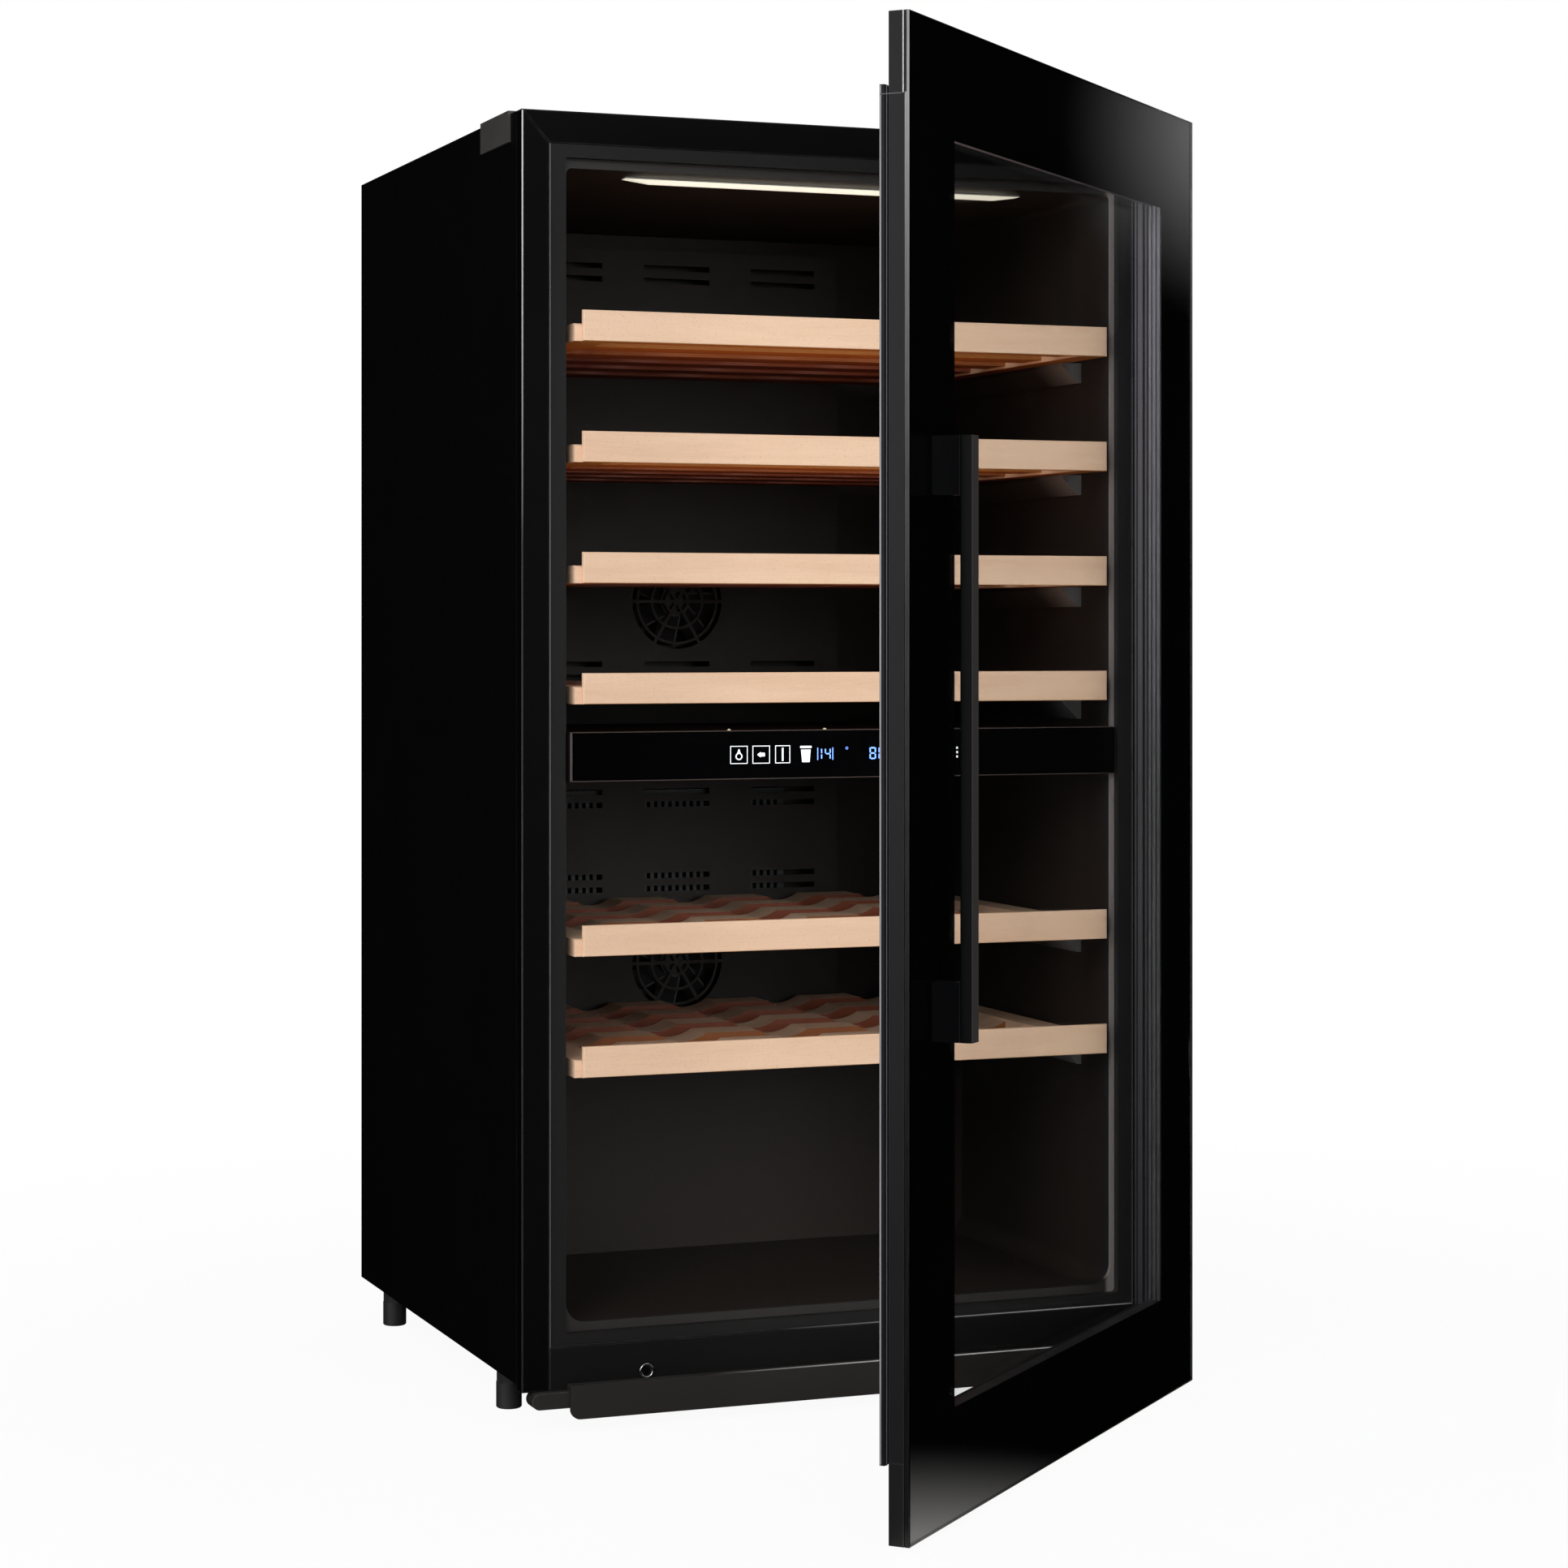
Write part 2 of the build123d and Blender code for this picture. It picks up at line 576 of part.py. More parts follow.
def condenser_fan_frame():
    """Square frame with a round mouth, three struts and the motor hub."""
    x, z = BAY_FAN_X, BAY_FAN_Z
    y1 = CONDENSER_Y[0]
    y0 = y1 - BAY_FAN_DEPTH
    half = BAY_FAN_HALF
    body = block(x - half, x + half, y0, y1, z - half, z + half)
    body -= rod_y(x, z, BAY_FAN_R + 4, y0 - 1, y1 + 1)
    strut = block(x, x + half - 2, y1 - 4, y1, z - 3, z + 3)
    for i in range(3):
        body += Pos(x, 0, z) * Rot(0, 120 * i + 90, 0) * Pos(-x, 0, -z) * strut
    body += rod_y(x, z, 18, y1 - 9, y1)
    return body - rod_y(x, z, FAN_SHAFT_R + RUNNING_GAP, y1 - 10, y1 - 3)


def drain_tray():
    wall = 1.5
    x0, x1 = TRAY_X
    y0, y1 = TRAY_Y
    z0, z1 = TRAY_Z
    return block(x0, x1, y0, y1, z0, z1) - block(x0 + wall, x1 - wall, y0 + wall, y1 - wall, z0 + wall, z1 + 1)


def pipe(points, radius, bend):
    """Round pipe along straight runs joined by arcs."""
    path = FilletPolyline(*points, radius=bend)
    start = Plane(origin=path @ 0, z_dir=path % 0)
    return sweep(start * Circle(radius), path=path)


def refrigerant_pipes():
    x, y = COMPRESSOR_XY
    port = x + COMPRESSOR_R + 9
    left = CONDENSER_X[0]
    high = DISCHARGE_Z
    discharge = pipe([(port, y, high), (5, y, high), (5, 465, high), (left, 465, high)], 3.0, 12)
    back = y + SUCTION_STEP
    suction = pipe([(port, back, SUCTION_Z), (-15, back, SUCTION_Z), (-15, back, BAY_TOP - 1)], 4.0, 14)
    liquid = pipe([(left, 481, 60), (40, 481, 60), (40, 481, 95)], 2.5, 12)
    drier = rod_z(40, 481, 9, 95, 150)
    capillary = rod_z(40, 481, 1.5, 150, BAY_TOP - 1)
    return [discharge, suction, liquid, drier, capillary]


def rear_cover():
    """Louvred lower back sheet with the mouth of the mains inlet."""
    cover = block(-SHELL_X, SHELL_X, BACK_Y, BACK_Y + SHEET, BASE_TOP, BAY_TOP)
    slots = [block(x - 30, x + 30, BACK_Y - 1, BACK_Y + 2, z - 2.5, z + 2.5)
             for x in LOUVRE_X for z in LOUVRE_Z]
    return cover - slots - block(*INLET_X, BACK_Y - 1, BACK_Y + 2, *INLET_Z)


def power_inlet():
    """Three-pole inlet body, open to the back."""
    body = block(*INLET_X, BACK_Y - 22, BACK_Y + SHEET, *INLET_Z)
    body += block(INLET_X[0] - 8, INLET_X[1] + 8, BACK_Y + SHEET, CABINET_D, INLET_Z[0] - 3, INLET_Z[1] + 3)
    mouth = block(INLET_X[0] + 2, INLET_X[1] - 2, BACK_Y - 18, CABINET_D + 1, INLET_Z[0] + 2, INLET_Z[1] - 2)
    return body - mouth


# ---------------------------------------------------------------- base
def plinth_grille():
    """Strip below the front frame, with rounded lower corners and a fixing lip on the frame's face."""
    z0, z1 = PLINTH_Z
    back = PLINTH_FRONT + PLINTH_T
    plate = block(-PLINTH_X, PLINTH_X, PLINTH_FRONT, back, z0, z1)
    corners = plate.edges().filter_by(Axis.Y).group_by(Axis.Z)[0]
    plate = fillet(corners, PLINTH_R)
    return plate + block(-PLINTH_X, PLINTH_X, back, 0, CABINET_BOTTOM, z1)


def base_brackets():
    """Round-ended bars under the frame that run out from behind the plinth's ends."""
    z0, z1 = SIDE_BAR_BOTTOM, CABINET_BOTTOM
    r = (z1 - z0) / 2
    x0, x1 = SIDE_BAR_X
    bar = block(x0 + r, x1, *SIDE_BAR_Y, z0, z1) + rod_y(x0 + r, z0 + r, r, *SIDE_BAR_Y)
    return [bar, mirrored(bar)]


def fixing_brackets():
    """Angle at each top side edge, with two screw holes in its upper leg."""
    top = CABINET_TOP + BRACKET_T
    upright = block(-HALF_W - 2, -HALF_W, *BRACKET_Y, BRACKET_BOTTOM, top)
    leg = block(-HALF_W, -HALF_W + BRACKET_LEG, *BRACKET_Y, CABINET_TOP, top)
    bracket = upright + leg - bracket_holes(2.25, CABINET_TOP - 1, top + 1)
    return [bracket, mirrored(bracket)]


def foot(x, y):
    """Levelling foot: round pad, eight-sided grip and stud."""
    pad = rod_z(x, y, FOOT_R, 0, PAD_H)
    pad = chamfer(pad.edges().group_by(Axis.Z)[0], 1.0)
    grip = Pos(x, y, PAD_H) * extrude(RegularPolygon(FOOT_R, 8), amount=GRIP_H)
    return pad + grip + rod_z(x, y, STUD_R, PAD_H + GRIP_H, BASE_TOP + BOSS_H - 2)


# ---------------------------------------------------------------- hinges
def hinge_plate(flange_z0, flange_z1, arm_z, screw_z):
    """Flange on the frame's face, an arm out to the hinge axis, and the pin."""
    flange = block(*PLATE_X, -PLATE_T, 0, flange_z0, flange_z1)
    root_x = PIVOT_X + PIVOT_Y + 1.5
    half = EYE_R * sin(radians(45))
    arm = prism_z([(PIVOT_X - half, PIVOT_Y - half), (PIVOT_X + half, PIVOT_Y + half),
                   (root_x + half + 4, 0), (root_x - half - 8, 0), (root_x - half - 8, -PLATE_T)],
                  arm_z, arm_z + ARM_T)
    eye = rod_z(PIVOT_X, PIVOT_Y, EYE_R, arm_z, arm_z + ARM_T)
    pin = rod_z(PIVOT_X, PIVOT_Y, PIN_R, arm_z, arm_z + ARM_T + PIN_UP)
    holes = [rod_y(x, screw_z, SCREW_R + RUNNING_GAP, -4, 1) for x in SCREW_X]
    return flange + arm + eye + pin - holes


def hinge_plates():
    top, bottom = PLATE_Z
    return [hinge_plate(*top, TOP_ARM_Z, TOP_SCREW_Z), hinge_plate(*bottom, BOTTOM_ARM_Z, BOTTOM_SCREW_Z)]


def hinge_screws():
    screws = []
    for z in (TOP_SCREW_Z, BOTTOM_SCREW_Z):
        for x in SCREW_X:
            head = rod_y(x, z, HEAD_R, -5.2, -PLATE_T)
            head -= block(x - 3.2, x + 3.2, -5.3, -4.2, z - 0.5, z + 0.5)
            head -= block(x - 0.5, x + 0.5, -5.3, -4.2, z - 3.2, z + 3.2)
            screws.append(head + rod_y(x, z, SCREW_R, -PLATE_T, 12))
    return screws


# ---------------------------------------------------------------- door, drawn closed
def door_glass():
    pane = block(-DOOR_X, DOOR_X, DOOR_FRONT, GLASS_BACK, DOOR_BOTTOM, DOOR_TOP)
    return soften(pane, DOOR_FRONT, 0.6)


def door_glass_border():
    """Thin opaque layer bonded behind the edge of the glass."""
    ring = block(-DOOR_X + 0.3, DOOR_X - 0.3, GLASS_BACK, MASK_BACK, DOOR_BOTTOM + 0.3, DOOR_TOP - 0.3)
    return ring - block(-DOOR_X + MASK_FREE_W, DOOR_X - MASK_HINGE_W, GLASS_BACK - 1, MASK_BACK + 1,
                        DOOR_BOTTOM + MASK_H, DOOR_TOP - MASK_H)


def door_stiles():
    """Two upright extrusions: outer frame, gasket carrier and the lip behind the inner pane."""
    frame = block(WALL_X, DOOR_X, MASK_BACK, FRAME_BACK, DOOR_BOTTOM + RAIL_H, DOOR_TOP - RAIL_H)
    z0, z1 = CARRIER_Z[0] + CARRIER_H, CARRIER_Z[1] - CARRIER_H
    carrier = block(WALL_X, CARRIER_X, FRAME_BACK, CARRIER_BACK, z0, z1)
    lip = block(WALL_X - LIP_W, WALL_X, PANE_Y[1], CARRIER_BACK, z0, z1)
    stile = frame + carrier + lip
    return [stile, mirrored(stile)]


def rail(z_out, z_frame, z_carrier, z_wall, arm_z):
    """One full-width rail; z values run from its outer edge towards the window."""
    def band(x, y0, y1, za, zb):
        return block(-x, x, y0, y1, min(za, zb), max(za, zb))
    lip_end = z_wall + (LIP_W if z_wall > z_out else -LIP_W)
    body = band(DOOR_X, MASK_BACK, FRAME_BACK, z_out, z_frame)
    body += band(CARRIER_X, FRAME_BACK, CARRIER_BACK, z_carrier, z_wall)
    body += band(WALL_X - LIP_W, PANE_Y[1], CARRIER_BACK, z_wall, lip_end)
    slot_top = arm_z + ARM_T + SLOT_GAP
    body -= block(250, DOOR_X + 1, MASK_BACK - 1, FRAME_BACK + 1, arm_z - SLOT_GAP, slot_top)
    return body - rod_z(PIVOT_X, PIVOT_Y, BUSH_R, slot_top - 1, arm_z + ARM_T + PIN_UP)


def door_rails():
    top = rail(DOOR_TOP, DOOR_TOP - RAIL_H, CARRIER_Z[1], CARRIER_Z[1] - CARRIER_H, TOP_ARM_Z)
    bottom = rail(DOOR_BOTTOM, DOOR_BOTTOM + RAIL_H, CARRIER_Z[0], CARRIER_Z[0] + CARRIER_H, BOTTOM_ARM_Z)
    return [top, bottom]


def hinge_bushes():
    bushes = []
    for arm_z in (TOP_ARM_Z, BOTTOM_ARM_Z):
        z0, z1 = arm_z + ARM_T + SLOT_GAP, arm_z + ARM_T + PIN_UP
        bushes.append(rod_z(PIVOT_X, PIVOT_Y, BUSH_R, z0, z1)
                      - rod_z(PIVOT_X, PIVOT_Y, PIN_R + RUNNING_GAP, z0 - 1, z1 + 1))
    return bushes


def door_inner_pane():
    edge = 0.4
    return block(-WALL_X + edge, WALL_X - edge, *PANE_Y,
                 CARRIER_Z[0] + CARRIER_H + edge, CARRIER_Z[1] - CARRIER_H - edge)


def glazing_spacer():
    """Four bars that keep the two panes apart; the uprights are grooved along the window."""
    z0, z1 = CARRIER_Z[0] + CARRIER_H + 3, CARRIER_Z[1] - CARRIER_H - 3
    x_in = SPACER_X - SPACER_W
    groove = SPACER_GROOVE
    upright = block(x_in, SPACER_X, MASK_BACK, PANE_Y[0], z0, z1)
    upright -= [block(x_in - 1, x_in + groove, y - groove / 2, y + groove / 2, z0 + SPACER_W, z1 - SPACER_W)
                for y in SPACER_GROOVES_Y]
    low = block(-x_in, x_in, MASK_BACK, PANE_Y[0], z0, z0 + SPACER_W)
    high = block(-x_in, x_in, MASK_BACK, PANE_Y[0], z1 - SPACER_W, z1)
    return [upright, mirrored(upright), low, high]


def door_gasket():
    """Bellows seal in four mitred lengths; s runs inwards from its outer edge."""
    inner = [(GASKET_W, GASKET_BACK), (GASKET_W, -3.6), (GASKET_W - 2, -4.8), (GASKET_W, -6.2),
             (GASKET_W, -8.2), (GASKET_W - 2, -9.4), (GASKET_W, -10.8), (GASKET_W, CARRIER_BACK)]
    section = [(0, CARRIER_BACK), (1.8, -11.3), (0, -9.0), (1.8, -6.7), (0, -4.4), (0, GASKET_BACK)] + inner
    x_out, x_in = CARRIER_X, CARRIER_X - GASKET_W
    z_lo, z_hi = CARRIER_Z
    side = prism_z([(x_out - s, y) for s, y in section], z_lo, z_hi)
    side &= prism_y([(x_out, z_lo), (x_out, z_hi), (x_in, z_hi - GASKET_W), (x_in, z_lo + GASKET_W)],
                    CARRIER_BACK, GASKET_BACK)
    low = prism_x([(y, z_lo + s) for s, y in section], -x_out, x_out)
    low &= prism_y([(-x_out, z_lo), (x_out, z_lo), (x_in, z_lo + GASKET_W), (-x_in, z_lo + GASKET_W)],
                   CARRIER_BACK, GASKET_BACK)
    high = mirror(low, about=Plane.XY.offset((z_lo + z_hi) / 2))
    return [side, mirrored(side), low, high]


def handle_bar():
    y1 = DOOR_FRONT - HANDLE_GAP
    bar = block(*HANDLE_X, y1 - HANDLE_T, y1, *HANDLE_Z)
    return fillet(bar.edges().filter_by(Axis.Z), 1.6)


def handle_blocks():
    z0, z1 = HANDLE_Z
    return [block(*HANDLE_X, DOOR_FRONT - HANDLE_GAP, DOOR_FRONT, za, za + BLOCK_H) for za in (z0, z1 - BLOCK_H)]


def swing(shape):
    """Turn a closed-door shape to the stored opening."""
    return Pos(PIVOT_X, PIVOT_Y, 0) * Rot(0, 0, DOOR_OPEN) * Pos(-PIVOT_X, -PIVOT_Y, 0) * shape


# ---------------------------------------------------------------- nodes
def cabinet_nodes():
    left_panel = side_panel()
    stile = frame_stile()
    return {
        "side_panel_left": left_panel,
        "side_panel_right": mirrored(left_panel),
        "top_panel": top_panel(),
        "back_panel": back_panel(),
        "base_plate": base_plate(),
        "insulation": insulation(),
        "inner_liner": inner_liner(),
        "machine_bay_wall": machine_bay_wall(),
        "frame_stiles": [stile, mirrored(stile)],
        "frame_rail_top": frame_rail_top(),
        "frame_rail_bottom": frame_rail_bottom(),
        "frame_plug": frame_plug(),
        "opening_trim": opening_trim(),
        "ceiling_lamp_housing": ceiling_lamp_housing(),
        "ceiling_lamp_lens": ceiling_lamp_lens(),
        "zone_divider": zone_divider(),
        "control_glass": control_glass(),
        "control_board": control_board(),
        "duct_cover_upper": duct_cover(UPPER_DUCT, UPPER_FAN_Z, UPPER_SLOTS),
        "duct_cover_lower": duct_cover(LOWER_DUCT, LOWER_FAN_Z, LOWER_SLOTS),
        "evaporators": evaporators(),
        "duct_fan_motors": duct_fan_motors(),
        "zone_sensors": zone_sensors(),
        "shelf_runners": shelf_runners(),
        "compressor": compressor(),
        "compressor_mounts": compressor_mounts(),
        "condenser": condenser(),
        "condenser_fan_frame": condenser_fan_frame(),
        "drain_tray": drain_tray(),
        "refrigerant_pipes": refrigerant_pipes(),
        "rear_cover": rear_cover(),
        "power_inlet": power_inlet(),
        "plinth_grille": plinth_grille(),
        "base_brackets": base_brackets(),
        "fixing_brackets": fixing_brackets(),
        "hinge_plates": hinge_plates(),
        "hinge_screws": hinge_screws(),
    }


def moving_nodes():
    y1 = CONDENSER_Y[0]
    nodes = {
        "fan_upper": fan_wheel(0, UPPER_FAN_Z, FAN_R, FAN_HUB_R, *DUCT_FAN_Y, 7, DUCT_SHAFT_END),
        "fan_lower": fan_wheel(0, LOWER_FAN_Z, FAN_R, FAN_HUB_R, *DUCT_FAN_Y, 7, DUCT_SHAFT_END),
        "condenser_fan": fan_wheel(BAY_FAN_X, BAY_FAN_Z, BAY_FAN_R, 17, y1 - 26, y1 - 11, 7, y1 - 5),
    }
    for place, y in (("front", FOOT_FRONT_Y), ("rear", FOOT_REAR_Y)):
        nodes[f"foot_{place}_left"] = foot(-FOOT_X, y)
        nodes[f"foot_{place}_right"] = foot(FOOT_X, y)
    first = shelf(shelf_tops()[0])
    for number, top in enumerate(reversed(shelf_tops()), start=1):
        lift = Pos(0, 0, top - shelf_tops()[0])
        nodes[f"shelf_{number}"] = [lift * piece for piece in first]
    return nodes


def door_nodes():
    closed = {
        "door_glass": door_glass(),
        "door_glass_border": door_glass_border(),
        "door_inner_pane": door_inner_pane(),
        "glazing_spacer": glazing_spacer(),
        "door_stiles": door_stiles(),
        "door_rails": door_rails(),
        "door_gasket": door_gasket(),
        "hinge_bushes": hinge_bushes(),
        "handle_bar": handle_bar(),
        "handle_blocks": handle_blocks(),
    }
    return {name: swing(as_compound(shape)) for name, shape in closed.items()}


def as_compound(shape):
    """One compound of the plain solids of a shape or of a list of shapes."""
    shapes = shape if isinstance(shape, list) else [shape]
    return Compound([solid for item in shapes for solid in item.solids()])


def main():
    os.makedirs("parts", exist_ok=True)
    nodes = {**cabinet_nodes(), **moving_nodes(), **door_nodes()}
    solids = [solid for shape in nodes.values() for solid in as_compound(shape).solids()]
    box = Compound(solids).bounding_box()
    middle = box.center()
    print("nodes", len(nodes), "box", box.min, box.max, "middle", middle)
    for name, shape in nodes.items():
        export_step(Pos(-middle.X, -middle.Y, 0) * as_compound(shape), f"parts/{name}.step")


main()
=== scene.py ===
import json
from math import pi, radians

import bmesh
import bpy
from mathutils import Matrix, Vector


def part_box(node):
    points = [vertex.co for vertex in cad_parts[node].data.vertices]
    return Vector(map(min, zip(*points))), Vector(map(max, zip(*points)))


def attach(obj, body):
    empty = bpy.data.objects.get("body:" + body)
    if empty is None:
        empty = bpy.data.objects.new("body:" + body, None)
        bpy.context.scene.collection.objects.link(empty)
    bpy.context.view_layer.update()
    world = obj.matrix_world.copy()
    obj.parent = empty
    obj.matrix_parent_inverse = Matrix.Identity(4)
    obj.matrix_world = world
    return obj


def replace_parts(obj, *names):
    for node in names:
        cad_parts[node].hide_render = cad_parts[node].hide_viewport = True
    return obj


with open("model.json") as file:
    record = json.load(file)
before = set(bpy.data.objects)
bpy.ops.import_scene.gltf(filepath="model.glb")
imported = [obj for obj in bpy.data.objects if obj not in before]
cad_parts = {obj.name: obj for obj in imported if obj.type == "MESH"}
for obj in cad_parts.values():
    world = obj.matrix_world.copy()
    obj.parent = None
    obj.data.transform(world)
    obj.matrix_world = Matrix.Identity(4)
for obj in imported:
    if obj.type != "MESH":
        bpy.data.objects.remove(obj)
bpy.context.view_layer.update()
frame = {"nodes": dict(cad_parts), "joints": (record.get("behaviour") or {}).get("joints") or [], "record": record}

MM = 0.001
WHITE = (1.0, 1.0, 1.0, 1.0)
# The range that most of a noise texture's values lie in
NOISE_LOW, NOISE_HIGH = 0.3, 0.7
# The most that a painted or moulded surface's colour drifts towards its second colour
DRIFT_SHARE = 0.6

# The door hangs on a vertical hinge line and is stored partly open.
DOOR_JOINT = next(j for j in frame["joints"] if j["name"] == "door_hinge")
HINGE = Vector((DOOR_JOINT["pos_m"][0], DOOR_JOINT["pos_m"][1], 0.0))
DOOR_OPEN = radians(-DOOR_JOINT["range_deg"][0])
SWING = Matrix.Translation(HINGE) @ Matrix.Rotation(DOOR_OPEN, 4, "Z") @ Matrix.Translation(-HINGE)
UNSWING = SWING.inverted()

# The camera's place in metres, its turn from the front in degrees, its lens in millimetres,
# and how far its frame is shifted
CAMERA_PLACE = (-1.0878, -2.6768, 0.6338)
CAMERA_TURN = 21.148
CAMERA_LENS = 80.14
CAMERA_RISE = -0.0984


# ------------------------------ modelling helpers
def clear_selection():
    bpy.ops.object.select_all(action="DESELECT")


def only(obj):
    """Make one object the selected and active one."""
    clear_selection()
    obj.select_set(True)
    bpy.context.view_layer.objects.active = obj


def settle(obj):
    """Put the object's place, turn and size into its mesh."""
    only(obj)
    bpy.ops.object.transform_apply(location=True, rotation=True, scale=True)
    return obj


def named(name):
    """Name the object that was made last."""
    made = bpy.context.object
    made.name = name
    made.data.name = name
    return made


def start_block(name, lo, hi):
    """A cube primitive between two corners, ready to be shaped."""
    clear_selection()
    lo, hi = Vector(lo), Vector(hi)
    bpy.ops.mesh.primitive_cube_add(size=1, location=(lo + hi) / 2, scale=hi - lo)
    return settle(named(name))


def start_disc(name, centre, radius, depth):
    """A cylinder primitive that lies along Y about a centre, ready to be shaped."""
    clear_selection()
    bpy.ops.mesh.primitive_cylinder_add(vertices=24, radius=radius, depth=depth,
                                        location=centre, rotation=(pi / 2, 0, 0))
    return settle(named(name))


def edit(obj):
    only(obj)
    bpy.ops.object.mode_set(mode="EDIT")
    bpy.ops.mesh.select_mode(type="FACE")
    bpy.ops.mesh.select_all(action="DESELECT")


def done():
    bpy.ops.object.mode_set(mode="OBJECT")


def pick_faces(obj, test):
    """Select the faces whose middle and normal pass a test."""
    mesh = bmesh.from_edit_mesh(obj.data)
    for face in mesh.faces:
        face.select_set(bool(test(face.calc_center_median(), face.normal)))
    bmesh.update_edit_mesh(obj.data)


def squeeze(obj, test, scale):
    """Scale the faces that pass a test about their own middle."""
    edit(obj)
    pick_faces(obj, test)
    bpy.ops.transform.resize(value=scale)
    done()
    return obj


def hollow(obj, wall):
    """Inset the faces in front and behind and bridge them, which leaves a ring."""
    edit(obj)
    pick_faces(obj, lambda middle, normal: abs(normal.y) > 0.9)
    bpy.ops.mesh.inset(thickness=wall)
    bpy.ops.mesh.bridge_edge_loops()
    done()
    return obj


def ease(obj, width, segments=1):
    """Round all sharp edges of a finished shape."""
    only(obj)
    rounding = obj.modifiers.new("rounding", "BEVEL")
    rounding.width = width
    rounding.segments = segments
    rounding.limit_method = "ANGLE"
    bpy.ops.object.modifier_apply(modifier=rounding.name)
    bpy.ops.object.shade_smooth_by_angle(angle=radians(35))
    return obj


def join(name, parts):
    clear_selection()
    for part in parts:
        part.select_set(True)
    bpy.context.view_layer.objects.active = parts[0]
    bpy.ops.object.join()
    return settle(named(name))


def dress(obj, material):
    obj.data.materials.clear()
    obj.data.materials.append(material)
    return obj


def second_finish(obj, material, test):
    """Give the faces that pass a test a second material."""
    obj.data.materials.append(material)
    edit(obj)
    pick_faces(obj, test)
    obj.active_material_index = len(obj.data.materials) - 1
    bpy.ops.object.material_slot_assign()
    done()


def copy_by(obj, step):
    """A copy with its own mesh, moved by a step."""
    only(obj)
    bpy.ops.object.duplicate()
    bpy.ops.transform.translate(value=step)
    return settle(bpy.context.object)


def closed_box(node):
    """Lowest and highest corner of a door node as it lies with the door shut."""
    points = [UNSWING @ v.co for v in frame["nodes"][node].data.vertices]
    return [Vector([pick(p[i] for p in points) for i in range(3)]) for pick in (min, max)]


def hang(obj):
    """Turn a piece modelled on the shut door to the stored opening, and let it ride on the door."""
    obj.matrix_world = SWING @ obj.matrix_world
    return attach(settle(obj), "door")


def bead_line(name, lo, hi, material, body="cabinet"):
    """A thin rounded bead between two corners."""
    bead = ease(start_block(name, lo, hi), 0.25 * min(h - l for l, h in zip(lo, hi)))
    dress(bead, material)
    if body == "door":
        hang(bead)
    else:
        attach(bead, body)


# ------------------------------ node helpers
def rgba(colour):
    return (*colour[:3], 1.0)


def add(tree, kind, values=None, **settings):
    """A node with its settings and its unlinked sockets set by name or number."""
    made = tree.nodes.new(kind)
    for key, value in settings.items():
        setattr(made, key, value)
    for key, value in (values or {}).items():
        made.inputs[key].default_value = value
    return made


def link(source, target):
    source.id_data.links.new(source, target)


def feed(value, socket):
    """Join a socket to another one, or set it to a plain number or colour."""
    if isinstance(value, bpy.types.NodeSocket):
        link(value, socket)
    elif socket.type == "RGBA":
        socket.default_value = rgba(value)
    else:
        socket.default_value = value


def maths(operation, a, b=None, clamp=False):
    """A Math node fed by a socket and another one or a plain number; gives its output socket."""
    made = add(a.id_data, "ShaderNodeMath", operation=operation, use_clamp=clamp)
    link(a, made.inputs[0])
    if b is not None:
        feed(b, made.inputs[1])
    return made.outputs[0]


def blend(factor, a, b, mode="MIX"):
    """A colour Mix node fed by sockets or plain colours; gives its output socket."""
    owner = factor if isinstance(factor, bpy.types.NodeSocket) else a
    made = add(owner.id_data, "ShaderNodeMix", data_type="RGBA", blend_type=mode)
    for slot, value in ((0, factor), (6, a), (7, b)):
        feed(value, made.inputs[slot])
    return made.outputs[2]


def measure(operation, a, b=None):
    """A length, distance or dot product of vectors; gives its output socket."""
    made = add(a.id_data, "ShaderNodeVectorMath", operation=operation)
    link(a, made.inputs[0])
    if b is not None:
        feed(b, made.inputs[1])
    return made.outputs["Value"]


def spread(value, low, high, to_low=0.0, to_high=1.0):
    """Map a value from one range to another, clamped."""
    made = add(value.id_data, "ShaderNodeMapRange")
    for slot, given in enumerate((value, low, high, to_low, to_high)):
        feed(given, made.inputs[slot])
    return made.outputs[0]


def placed(place, kind, **values):
    """A texture or mapping node at a place, with its sockets set by name; gives its outputs."""
    made = add(place.id_data, kind)
    link(place, made.inputs["Vector"])
    for key, value in values.items():
        feed(value, made.inputs[key.replace("_", " ")])
    return made.outputs


def noise(place, scale, detail=2.0, roughness=0.5, distortion=0.0):
    return placed(place, "ShaderNodeTexNoise", Scale=scale, Detail=detail, Roughness=roughness,
                  Distortion=distortion)["Fac"]


def filled(value, to_low=0.0, to_high=1.0):
    """Spread noise, which seldom leaves the middle of its range, over a whole one."""
    return spread(value, NOISE_LOW, NOISE_HIGH, to_low, to_high)


def drifting(place, scale, *more):
    """Noise that fills the range from 0 to 1."""
    return filled(noise(place, scale, *more))


def piece_place(tree):
    """Coordinates that stay with the piece."""
    return add(tree, "ShaderNodeTexCoord").outputs["Object"]


def stretched(place, scale):
    return placed(place, "ShaderNodeMapping", Scale=scale)["Vector"]


def axes(vector):
    """The three coordinates of a vector."""
    made = add(vector.id_data, "ShaderNodeSeparateXYZ")
    link(vector, made.inputs[0])
    return made.outputs


def mix_shaders(share, first, second, output):
    """Feed an output with a mix of two shaders."""
    made = add(share.id_data, "ShaderNodeMixShader")
    for slot, source in enumerate((share, first.outputs[0], second.outputs[0])):
        link(source, made.inputs[slot])
    link(made.outputs[0], output.inputs["Surface"])


